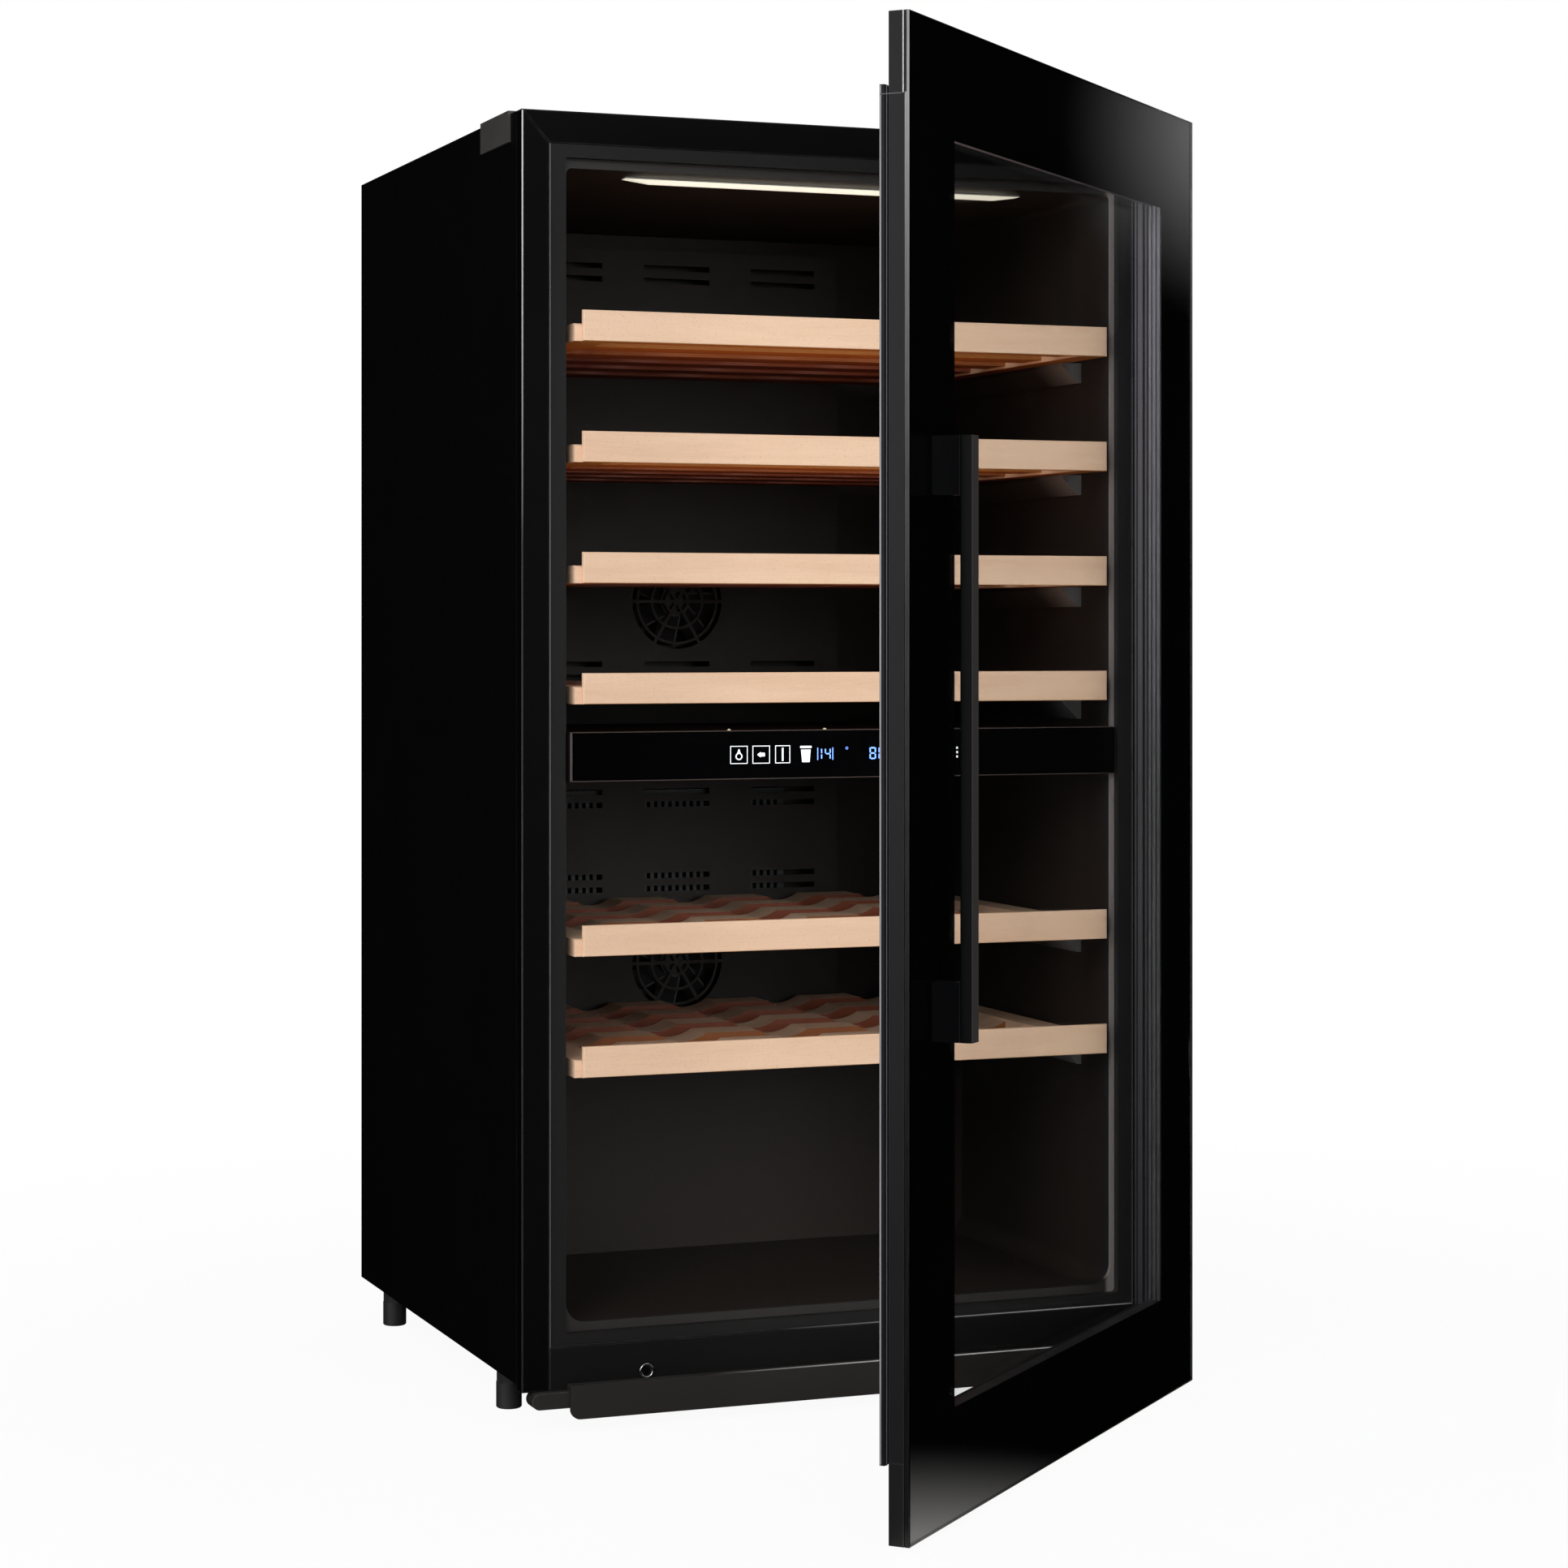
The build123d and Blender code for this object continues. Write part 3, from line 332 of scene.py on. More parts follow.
def new_group(name, inputs, outputs=("Color", "Roughness", "Height")):
    """A shader node group. Inputs are names with defaults, whose length tells their kind."""
    tree = bpy.data.node_groups.new(name, "ShaderNodeTree")
    for label, default in inputs.items():
        kind = "Float" if isinstance(default, float) else {3: "Vector", 4: "Color"}[len(default)]
        socket = tree.interface.new_socket(name=label, in_out="INPUT", socket_type="NodeSocket" + kind)
        socket.default_value = default
    for label in outputs:
        kind = "Color" if label == "Color" else "Float"
        tree.interface.new_socket(name=label, in_out="OUTPUT", socket_type="NodeSocket" + kind)
    return tree, add(tree, "NodeGroupInput").outputs, add(tree, "NodeGroupOutput").inputs


def place_group(tree, group, values):
    made = add(tree, "ShaderNodeGroup", node_tree=group)
    for key, value in values.items():
        feed(value, made.inputs[key])
    return made.outputs


# ------------------------------ shared effects
def make_surface_group():
    """Slow drift of colour, uneven sheen and fine grain, for moulded and painted surfaces."""
    tree, given, out = new_group("uneven_surface", {
        "Base": WHITE, "Drift": WHITE, "Drift Scale": 6.0, "Rough Low": 0.4, "Rough High": 0.5,
        "Grain Scale": 900.0})
    place = piece_place(tree)
    amount = maths("MULTIPLY", drifting(place, given["Drift Scale"], 4.0), DRIFT_SHARE)
    link(blend(amount, given["Base"], given["Drift"]), out["Color"])
    smear = noise(place, maths("MULTIPLY", given["Drift Scale"], 5.0), 5.0, 0.65)
    link(filled(smear, given["Rough Low"], given["Rough High"]), out["Roughness"])
    link(noise(place, given["Grain Scale"], 2.0, 0.6), out["Height"])
    return tree


def make_edge_wear_and_highlight_group():
    """Lighter colour where a surface turns a sharp edge: partly rubbed wear, partly a painted highlight along the
    edge.
    """
    tree, given, out = new_group(
        "rubbed_and_highlit_edges", {"Color": WHITE, "Worn And Highlit": WHITE, "Amount": 0.5}, ["Color"])
    rounded = add(tree, "ShaderNodeBevel", {"Radius": 0.0012}, samples=4)
    flat = add(tree, "ShaderNodeNewGeometry")
    turn = measure("DOT_PRODUCT", rounded.outputs["Normal"], flat.outputs["Normal"])
    edge = spread(turn, 0.999, 0.9)
    patchy = spread(noise(piece_place(tree), 60.0, 4.0, 0.7), 0.35, 0.65, 0.25, 1.0)
    mask = maths("MULTIPLY", maths("MULTIPLY", edge, patchy), given["Amount"], clamp=True)
    link(blend(mask, given["Color"], given["Worn And Highlit"]), out["Color"])
    return tree


def make_dust_group():
    """A thin film of dust on whatever faces up."""
    tree, given, out = new_group(
        "settled_dust", {"Color": WHITE, "Dust": (0.3, 0.29, 0.27, 1.0), "Amount": 0.1}, ["Color"])
    coordinates = add(tree, "ShaderNodeTexCoord").outputs
    level = spread(axes(coordinates["Normal"])["Z"], 0.6, 0.95)
    cloud = spread(noise(coordinates["Object"], 22.0, 6.0, 0.7), 0.35, 0.75)
    mask = maths("MULTIPLY", maths("MULTIPLY", level, cloud), given["Amount"], clamp=True)
    link(blend(mask, given["Color"], given["Dust"]), out["Color"])
    return tree


def make_drawn_group():
    """Fine parallel lines left by drawing or brushing a metal."""
    tree, given, out = new_group("drawn_lines", {
        "Place": (0.0, 0.0, 0.0), "Base": WHITE, "Line": WHITE, "Rough Low": 0.25, "Rough High": 0.45})
    lines = noise(given["Place"], 1.0, 3.0, 0.7)
    share = filled(lines)
    link(blend(share, given["Base"], given["Line"]), out["Color"])
    link(filled(lines, given["Rough Low"], given["Rough High"]), out["Roughness"])
    link(share, out["Height"])
    return tree


def make_beech_group():
    """Steamed beech: growth bands, fine pores and short flecks along the grain, speckled end grain."""
    tree, given, out = new_group("beech_grain", {
        "Along": (0.0, 0.0, 0.0), "End Share": 0.0, "Light": WHITE, "Dark": WHITE, "Fleck": WHITE,
        "Board Tone": 0.5})
    bands = drifting(stretched(given["Along"], (5.0, 75.0, 75.0)), 1.0, 4.0, 0.55, 0.6)
    fibres = noise(stretched(given["Along"], (45.0, 1100.0, 1100.0)), 1.0, 3.0, 0.6)
    short = noise(stretched(given["Along"], (420.0, 2600.0, 2600.0)), 1.0, 1.0, 0.4)
    speck = noise(given["Along"], 1500.0, 2.0, 0.5)
    tone = maths("ADD", maths("MULTIPLY", bands, 0.55), maths("MULTIPLY", filled(fibres), 0.3))
    tone = maths("ADD", tone, maths("MULTIPLY", given["Board Tone"], 0.25), clamp=True)
    wood = blend(tone, given["Light"], given["Dark"])
    flecks = spread(short, 0.66, 0.74, 0.0, 0.55)
    wood = blend(flecks, wood, given["Fleck"])
    pores = spread(speck, 0.5, 0.7, 0.0, 0.5)
    ends = blend(pores, blend(0.45, given["Light"], given["Dark"]), given["Fleck"])
    link(blend(given["End Share"], wood, ends), out["Color"])
    link(filled(fibres, 0.5, 0.68), out["Roughness"])
    link(maths("SUBTRACT", fibres, maths("MULTIPLY", flecks, 0.6)), out["Height"])
    return tree


SURFACE = make_surface_group()
EDGE_WEAR_AND_HIGHLIGHT = make_edge_wear_and_highlight_group()
DUST = make_dust_group()
DRAWN = make_drawn_group()
BEECH = make_beech_group()


# ------------------------------ materials
def new_material(name, specular=0.5, **sockets):
    """A material with a Principled shader whose plain sockets are set by name."""
    material = bpy.data.materials.new(name)
    material.use_nodes = True
    tree = material.node_tree
    shader = tree.nodes["Principled BSDF"]
    shader.inputs["Specular IOR Level"].default_value = specular
    for key, value in sockets.items():
        shader.inputs[key.replace("_", " ")].default_value = value
    return material, tree, shader


def cover(shader, colour, roughness, height, depth):
    """Feed a shader its colour and roughness, and a relief of a given depth."""
    link(colour, shader.inputs["Base Color"])
    link(roughness, shader.inputs["Roughness"])
    bump = add(shader.id_data, "ShaderNodeBump", {"Strength": 1.0, "Distance": depth})
    link(height, bump.inputs["Height"])
    link(bump.outputs["Normal"], shader.inputs["Normal"])


def scaled(colour, share):
    return [c * share for c in colour]


def finish_surface(name, base, drift, rough, scale=6.0, grain=900.0, depth=0.00002,
                   worn_and_highlit_colour=None, edge_wear_and_highlight=0.0, dust=0.0, specular=0.5):
    """Painted, moulded or rubber surface with drift, grain, dust and paler edges that are partly rubbed wear and
    partly painted highlight.
    """
    material, tree, shader = new_material(name, specular)
    made = place_group(tree, SURFACE, {
        "Base": base, "Drift": drift, "Drift Scale": scale,
        "Rough Low": rough[0], "Rough High": rough[1], "Grain Scale": grain})
    colour = made["Color"]
    if edge_wear_and_highlight:
        colour = place_group(tree, EDGE_WEAR_AND_HIGHLIGHT, {"Color": colour, "Worn And Highlit": worn_and_highlit_colour, "Amount": edge_wear_and_highlight})["Color"]
    if dust:
        colour = place_group(tree, DUST, {"Color": colour, "Amount": dust})["Color"]
    cover(shader, colour, made["Roughness"], made["Height"], depth)
    return material


def painted_light_ramp(name, axis, start, end, light, dark, rough=(0.25, 0.36), across=None, specular=0.5):
    """Satin finish that pales along one axis, from its dark colour at start to its light one at end; it paints
    light or shade along a part.

    Across is (axis, start, end, colour): where the dark colour itself drifts along another axis, as painted light."""
    material, tree, shader = new_material(name, specular)
    place = piece_place(tree)
    split = axes(place)
    share = spread(split[axis], start, end)
    streak = drifting(place, 900.0, 3.0, 0.6)
    pale = blend(streak, light, scaled(light, 0.8))
    if across:
        drift = spread(split[across[0]], across[1], across[2])
        dark = blend(drift, dark, across[3])
    cover(shader, blend(share, dark, pale), spread(streak, 0.0, 1.0, *rough), streak, 0.000005)
    return material


def drawn_metal(name, base, line, rough, stretch=(900.0, 900.0, 900.0), metallic=1.0):
    """Metal with fine lines along one direction."""
    material, tree, shader = new_material(name, Metallic=metallic)
    made = place_group(tree, DRAWN, {"Place": stretched(piece_place(tree), stretch),
                                     "Base": base, "Line": line,
                                     "Rough Low": rough[0], "Rough High": rough[1]})
    cover(shader, made["Color"], made["Roughness"], made["Height"], 0.000005)
    return material


def galvanised(name):
    """Zinc-coated sheet with its crystal pattern."""
    material, tree, shader = new_material(name, Metallic=0.9)
    place = piece_place(tree)
    crystals = placed(place, "ShaderNodeTexVoronoi", Scale=110.0)
    split = add(tree, "ShaderNodeSeparateColor")
    link(crystals["Color"], split.inputs[0])
    tone = split.outputs[0]
    cloud = spread(noise(place, 9.0, 4.0), 0.35, 0.7, 0.0, 0.5)
    colour = blend(tone, (0.36, 0.37, 0.39), (0.52, 0.53, 0.55))
    colour = blend(cloud, colour, (0.42, 0.42, 0.42))
    cover(shader, colour, spread(tone, 0.0, 1.0, 0.34, 0.52), tone, 0.00001)
    return material


def clear_glass(name, tint, ior):
    """Clear pane with faint handling marks; light from lamps goes through."""
    material, tree, shader = new_material(name, Transmission_Weight=1.0, IOR=ior)
    place = piece_place(tree)
    marks = spread(noise(place, 14.0, 6.0, 0.7, 0.8), 0.5, 0.8, 0.0, 0.012)
    link(marks, shader.inputs["Roughness"])
    shade = blend(drifting(place, 3.0), tint, scaled(tint, 0.985))
    link(shade, shader.inputs["Base Color"])
    shadow_ray = add(tree, "ShaderNodeLightPath").outputs["Is Shadow Ray"]
    through = add(tree, "ShaderNodeBsdfTransparent", {"Color": rgba(tint)})
    mix_shaders(shadow_ray, shader, through, tree.nodes["Material Output"])
    return material


def ground_glass(name, black_above):
    """Ground edge of a glass pane in fine lines, with a painted highlight that pales it upwards, black above a
    height.
    """
    material, tree, shader = new_material(name, 0.3, IOR=1.5)
    place = piece_place(tree)
    lines = noise(stretched(place, (900.0, 900.0, 25.0)), 1.0, 3.0, 0.6)
    share = filled(lines)
    z = axes(place)["Z"]
    # Painted highlight: the edge pales steeply towards the top.
    high = maths("POWER", spread(z, 0.15, 1.0), 4.9)
    high = maths("MULTIPLY", high, spread(z, black_above + 0.001, black_above))
    pale = blend(share, (0.21, 0.202, 0.202), (0.255, 0.247, 0.247))
    cover(shader, blend(high, (0.003, 0.003, 0.003), pale), filled(lines, 0.2, 0.36), share, 0.00001)
    return material


def handle_painted_light(name, side, front, rough, specular):
    """Finely brushed handle paint with painted light: paler on the face away from the door, as if lit, and darker
    on the sides.
    """
    material, tree, shader = new_material(name, specular)
    coordinates = add(tree, "ShaderNodeTexCoord").outputs
    outward = SWING.to_3x3() @ Vector((0.0, -1.0, 0.0))
    face = spread(measure("DOT_PRODUCT", coordinates["Normal"], outward), 0.6, 0.9)
    lines = noise(stretched(coordinates["Object"], (2200.0, 2200.0, 30.0)), 1.0, 3.0, 0.6)
    share = filled(lines)
    brushed = blend(share, front, scaled(front, 1.25))
    plain = blend(share, side, scaled(side, 1.3))
    cover(shader, blend(face, plain, brushed), filled(lines, *rough), share, 0.000006)
    return material


# A shelf: the widths of its left and right battens, how far behind its front they start,
# and the depth of its front board
BATTEN_LEFT = 30.1 * MM
BATTEN_RIGHT = 24.0 * MM
BATTEN_START = 4.1 * MM
BOARD_DEPTH = 12.0 * MM


def beech(name):
    """Beech with the grain along the boards and slats and lengthways in the side battens, with painted
    shade, a darker amber brown, where it faces down or stands behind the front board."""
    material, tree, shader = new_material(name, 0.35, Coat_Weight=0.12, Coat_Roughness=0.35)
    lo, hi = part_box("shelf_1")
    coordinates = add(tree, "ShaderNodeTexCoord").outputs
    x, y, z = axes(coordinates["Object"])
    side = maths("MAXIMUM", maths("LESS_THAN", x, lo.x + BATTEN_LEFT),
                 maths("GREATER_THAN", x, hi.x - BATTEN_RIGHT))
    side = maths("MULTIPLY", side, maths("GREATER_THAN", y, lo.y + BATTEN_START))
    facing = axes(coordinates["Normal"])
    ends = add(tree, "ShaderNodeMix", data_type="FLOAT")
    for slot, socket in ((0, side), (2, maths("ABSOLUTE", facing[0])),
                         (3, maths("ABSOLUTE", facing[1]))):
        link(socket, ends.inputs[slot])
    turned = add(tree, "ShaderNodeMix", data_type="VECTOR")
    link(side, turned.inputs[0])
    for slot, order in ((4, (x, y, z)), (5, (y, x, z))):
        grain = add(tree, "ShaderNodeCombineXYZ")
        for axis in range(3):
            link(order[axis], grain.inputs[axis])
        link(grain.outputs[0], turned.inputs[slot])
    patch = noise(stretched(coordinates["Object"], (1.3, 9.0, 10.4)), 1.0, 1.0)
    made = place_group(tree, BEECH, {
        "Along": turned.outputs[1], "End Share": spread(ends.outputs[0], 0.7, 0.9),
        "Light": (0.86, 0.6, 0.42), "Dark": (0.73, 0.47, 0.31),
        "Fleck": (0.44, 0.24, 0.13), "Board Tone": spread(patch, 0.35, 0.65)})
    # Painted shade: faces that face down, or face back behind the front board, are multiplied to a darker amber
    # brown, darkest furthest in.
    below = spread(facing[2], -0.5, -0.9)
    behind = maths("MULTIPLY", spread(facing[1], -0.5, -0.9),
                   maths("GREATER_THAN", y, lo.y + BOARD_DEPTH))
    deep_in = spread(y, lo.y + 4.0 * MM, lo.y + 200.0 * MM)
    painted_shade_tint = blend(deep_in, (0.62, 0.36, 0.09), (0.22, 0.055, 0.008))
    painted_shade = blend(1.0, made["Color"], painted_shade_tint, "MULTIPLY")
    in_painted_shade = maths("MAXIMUM", below, behind)
    cover(shader, blend(in_painted_shade, made["Color"], painted_shade), made["Roughness"], made["Height"], 0.00004)
    return material


def foam(name):
    """Cut polyurethane foam: open cells and a skin that browns in patches."""
    material, tree, shader = new_material(name, 0.1)
    place = piece_place(tree)
    cells = placed(place, "ShaderNodeTexVoronoi", Scale=700.0)["Distance"]
    patch = spread(noise(place, 9.0, 5.0), 0.35, 0.7)
    colour = blend(patch, (0.82, 0.72, 0.46), (0.7, 0.56, 0.3))
    pits = spread(cells, 0.0, 0.35, 0.35, 0.0)
    cover(shader, blend(pits, colour, (0.45, 0.34, 0.16)),
          spread(patch, 0.0, 1.0, 0.8, 0.95), cells, 0.0006)
    return material


def circuit(name):
    """Green board with darker tracks."""
    material, tree, shader = new_material(name, Coat_Weight=0.3)
    turned = placed(piece_place(tree), "ShaderNodeMapping", Rotation=(pi / 2, 0.0, 0.0))["Vector"]
    tracks = placed(turned, "ShaderNodeTexBrick", Color1=(0.015, 0.11, 0.05), Color2=(0.02, 0.15, 0.07),
                    Mortar=(0.2, 0.3, 0.12), Scale=130.0, Mortar_Size=0.03)
    gap = tracks["Fac"]
    cover(shader, tracks["Color"], spread(gap, 0.0, 1.0, 0.42, 0.25), gap, 0.00004)
    return material


def glowing(name, colour, strength, drift=0.08):
    """Lit part behind a diffuser, slightly uneven in brightness."""
    material, tree, shader = new_material(name, Emission_Strength=strength, Roughness=0.4)
    shade = blend(drifting(piece_place(tree), 35.0), colour, scaled(colour, 1.0 - drift))
    link(shade, shader.inputs["Emission Color"])
    link(shade, shader.inputs["Base Color"])
    return material


def copper(name):
    """Drawn copper tube, browned in patches."""
    material, tree, shader = new_material(name, Metallic=1.0)
    place = piece_place(tree)
    patch = spread(noise(place, 45.0, 5.0, 0.7), 0.35, 0.7)
    cover(shader, blend(patch, (0.8, 0.4, 0.24), (0.34, 0.17, 0.11)),
          spread(patch, 0.0, 1.0, 0.24, 0.5), noise(place, 800.0), 0.00001)
    return material


def perforated_bar(name):
    """Spacer bar with rows of pin holes along it, dark grey with a paler grey painted towards the top as a
    highlight.
    """
    material, tree, shader = new_material(name, Metallic=0.2)
    place = piece_place(tree)
    holes = placed(place, "ShaderNodeTexVoronoi", Scale=330.0, Randomness=0.0)["Distance"]
    pin = spread(holes, 0.16, 0.2)
    drift = drifting(place, 30.0, 3.0)
    # Painted highlight: the bar pales towards the top.
    high = spread(axes(place)["Z"], 0.5, 0.95)
    pale = blend(drift, (0.105, 0.1, 0.125), (0.13, 0.124, 0.15))
    bar = blend(high, (0.016, 0.0155, 0.018), pale)
    cover(shader, blend(pin, (0.01, 0.01, 0.012), bar),
          spread(drift, 0.0, 1.0, 0.3, 0.42), pin, 0.0001)
    return material


# Front of the liner's flange and right end of the lip round the opening
LINER_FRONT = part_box("inner_liner")[0].y
LIP_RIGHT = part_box("opening_trim")[1].x

# One finish for each material slot of the record
FINISH = {
    "casing_black": finish_surface(
        "casing_powder_coat", (0.002, 0.002, 0.0022), (0.0028, 0.0028, 0.003), (0.42, 0.48),
        scale=9.0, grain=1400.0, depth=0.00003, worn_and_highlit_colour=(0.02, 0.02, 0.021), edge_wear_and_highlight=0.5, dust=0.02,
        specular=0.06),
    "frame_black": finish_surface(
        "frame_satin_paint", (0.0017, 0.0017, 0.0018), (0.0024, 0.0024, 0.0025), (0.3, 0.36),
        scale=5.0, grain=2200.0, depth=0.000012, worn_and_highlit_colour=(0.06, 0.06, 0.063), edge_wear_and_highlight=0.6, dust=0.03,
        specular=0.06),
    # Liner: its dark colour on the flange at the front, a paler warm brown from 30 mm in; towards the right lip
    # the flange's dark colour pales as painted light, where the open door shades it.
    "liner_dark": painted_light_ramp(
        "liner_dark_moulding", 1, LINER_FRONT + 14.0 * MM, LINER_FRONT + 30.0 * MM,
        (0.028, 0.0215, 0.0185), (0.0095, 0.0088, 0.0086), (0.38, 0.5),
        (0, LIP_RIGHT - 30.0 * MM, LIP_RIGHT, (0.023, 0.0218, 0.0222)), specular=0.2),
    # Lip round the opening: dark, with a pale strip painted on its right end as a highlight.
    "trim_grey": painted_light_ramp(
        "opening_lip_painted_highlight", 0, LIP_RIGHT - 9.0 * MM, LIP_RIGHT - 5.5 * MM,
        (0.33, 0.3, 0.29), (0.029, 0.0255, 0.024), (0.3, 0.4), specular=0.3),
    "foam": foam("cabinet_foam"),
    "sheet_steel": galvanised("galvanised_sheet"),
    "bar_glass": finish_surface(
        "touch_bar_glass", (0.0009, 0.0009, 0.0012), (0.0013, 0.0013, 0.0017), (0.03, 0.08),
        scale=12.0, grain=300.0, depth=0.000002, specular=0.12),
    "circuit": circuit("circuit_board"),
    "lamp_housing": finish_surface(
        "lamp_housing_plastic", (0.5, 0.49, 0.44), (0.56, 0.55, 0.5), (0.35, 0.5)),
    "lamp_lens": glowing("lamp_diffuser", (1.0, 0.97, 0.8), 0.66, 0.05),
    "duct_plastic": finish_surface(
        "duct_dark_moulding", (0.02, 0.0152, 0.0128), (0.016, 0.0122, 0.0104), (0.42, 0.55),
        scale=5.0, grain=1300.0, depth=0.00006, specular=0.25),
    "fins": drawn_metal("fin_dark_epoxy", (0.012, 0.013, 0.016), (0.022, 0.023, 0.027), (0.3, 0.5),
                        (500.0, 500.0, 12.0), metallic=0.0),
    # Shelf runners: pale grey at the front, darkened towards the back as painted shade.
    "runner_grey": painted_light_ramp("runner_moulding_painted_shade", 1, 85.0 * MM, 15.0 * MM, (0.23, 0.23, 0.235),
                          (0.012, 0.0105, 0.01), (0.4, 0.55)),
    "beech": beech("steamed_beech"),
    "compressor_black": finish_surface(
        "compressor_dip_paint", (0.014, 0.014, 0.014), (0.022, 0.021, 0.02), (0.25, 0.4),
        scale=15.0, grain=260.0, depth=0.0001, worn_and_highlit_colour=(0.2, 0.2, 0.2), edge_wear_and_highlight=0.4, dust=0.35),
    "rubber_mount": finish_surface(
        "mount_rubber", (0.012, 0.012, 0.012), (0.022, 0.021, 0.02), (0.7, 0.85),
        depth=0.00004, dust=0.3),
    "fan_plastic": finish_surface(
        "fan_dark_moulding", (0.022, 0.022, 0.024), (0.03, 0.03, 0.032), (0.4, 0.52),
        grain=1500.0, dust=0.2),
    "tray_plastic": finish_surface(
        "tray_grey_moulding", (0.42, 0.43, 0.45), (0.5, 0.5, 0.51), (0.35, 0.5), dust=0.4),
    "copper": copper("copper_tube"),
    "plinth_black": finish_surface(
        "plinth_paint", (0.019, 0.0165, 0.0146), (0.025, 0.0218, 0.0194), (0.42, 0.52),
        scale=5.0, grain=1600.0, worn_and_highlit_colour=(0.06, 0.058, 0.055), edge_wear_and_highlight=0.4, dust=0.05, specular=0.2),
    "bracket_grey": finish_surface(
        "bracket_grey_paint", (0.04, 0.036, 0.032), (0.052, 0.047, 0.042), (0.42, 0.55),
        grain=1300.0, depth=0.00003, worn_and_highlit_colour=(0.12, 0.12, 0.12), edge_wear_and_highlight=0.4, dust=0.1),
    "hinge_steel": drawn_metal("hinge_zinc", (0.3, 0.31, 0.33), (0.4, 0.41, 0.42), (0.3, 0.42),
                               (60.0, 900.0, 900.0)),
    "foot_black": finish_surface(
        "foot_moulding", (0.016, 0.016, 0.017), (0.024, 0.024, 0.025), (0.4, 0.55),
        grain=1000.0, depth=0.00004, dust=0.15),
    "door_glass": clear_glass("door_clear_glass", (0.985, 0.99, 0.985), 1.26),
    "glass_border": finish_surface(
        "glass_black_print", (0.001, 0.001, 0.0012), (0.0014, 0.0014, 0.0016), (0.6, 0.7),
        scale=9.0, specular=0.0),
    "pane_glass": clear_glass("inner_clear_glass", (0.99, 0.993, 0.993), 1.16),
    "door_profile": finish_surface(
        "door_profile_satin", (0.0055, 0.0054, 0.0058), (0.0075, 0.0073, 0.0078), (0.36, 0.44),
        scale=5.0, grain=1900.0, worn_and_highlit_colour=(0.05, 0.05, 0.053), edge_wear_and_highlight=0.4, specular=0.2),
    "spacer_bar": perforated_bar("spacer_bar_dark"),
    "gasket_rubber": finish_surface(
        "gasket_soft_black", (0.0065, 0.0062, 0.007), (0.0095, 0.0091, 0.0102), (0.34, 0.46),
        scale=12.0, grain=1100.0, depth=0.00003, dust=0.03, specular=0.15),
    "bush_plastic": finish_surface(
        "bush_white_moulding", (0.55, 0.55, 0.53), (0.62, 0.62, 0.6), (0.3, 0.42)),
    # Handle: a paler paint on the face away from the door as painted light.
    "handle_black": handle_painted_light(
        "handle_satin_paint", (0.0018, 0.0019, 0.0022), (0.029, 0.0265, 0.025), (0.3, 0.38), 0.08),
}
# Nodes that differ from the finish of their slot
OWN_FINISH = {
    # The bottom rail's paint is paler than the frame's: painted light, as from the floor below.
    "frame_rail_bottom": finish_surface(
        "lower_rail_paint_painted_light", (0.0062, 0.0059, 0.0058), (0.008, 0.0076, 0.0075), (0.32, 0.38),
        scale=5.0, grain=2200.0, depth=0.000012, worn_and_highlit_colour=(0.06, 0.06, 0.063), edge_wear_and_highlight=0.6, dust=0.03,
        specular=0.1),
    "back_panel": finish_surface(
        "back_sheet_paint", (0.034, 0.034, 0.036), (0.046, 0.046, 0.048), (0.42, 0.5),
        scale=3.0, grain=1400.0, depth=0.00003, worn_and_highlit_colour=(0.16, 0.16, 0.165), edge_wear_and_highlight=0.6, dust=0.1,
        specular=0.35),
    "rear_cover": finish_surface(
        "rear_cover_paint", (0.017, 0.017, 0.018), (0.023, 0.023, 0.024), (0.36, 0.46),
        grain=1400.0, depth=0.00003, worn_and_highlit_colour=(0.13, 0.13, 0.135), edge_wear_and_highlight=0.8, dust=0.15,
        specular=0.4),
    "base_brackets": finish_surface(
        "base_bracket_paint", (0.0175, 0.016, 0.0145), (0.023, 0.021, 0.019), (0.42, 0.55),
        grain=1300.0, depth=0.00003, worn_and_highlit_colour=(0.14, 0.135, 0.13), edge_wear_and_highlight=0.7, dust=0.1,
        specular=0.3),
}
for part in frame["record"]["subparts"]:
    dress(frame["nodes"][part["node"]], FINISH[part["material_slot"]])
for node, finish in OWN_FINISH.items():
    dress(frame["nodes"][node], finish)


# ------------------------------ door glass
# Widths of the black border: at the top and bottom, on the free side, on the hinge side,
# and how far it stays in from the edge of the pane
BORDER_HIGH = 80.0 * MM
BORDER_FREE = 83.5 * MM
BORDER_HINGE = 74.0 * MM
BORDER_INSET = 0.3 * MM
# Width of the pane's ground rim, and how far back its front and its seal start
RIM = 0.4 * MM
RIM_START = Vector((0.0, 0.5 * MM, 0.0))
SEAL_START = Vector((0.0, 2.5 * MM, 0.0))


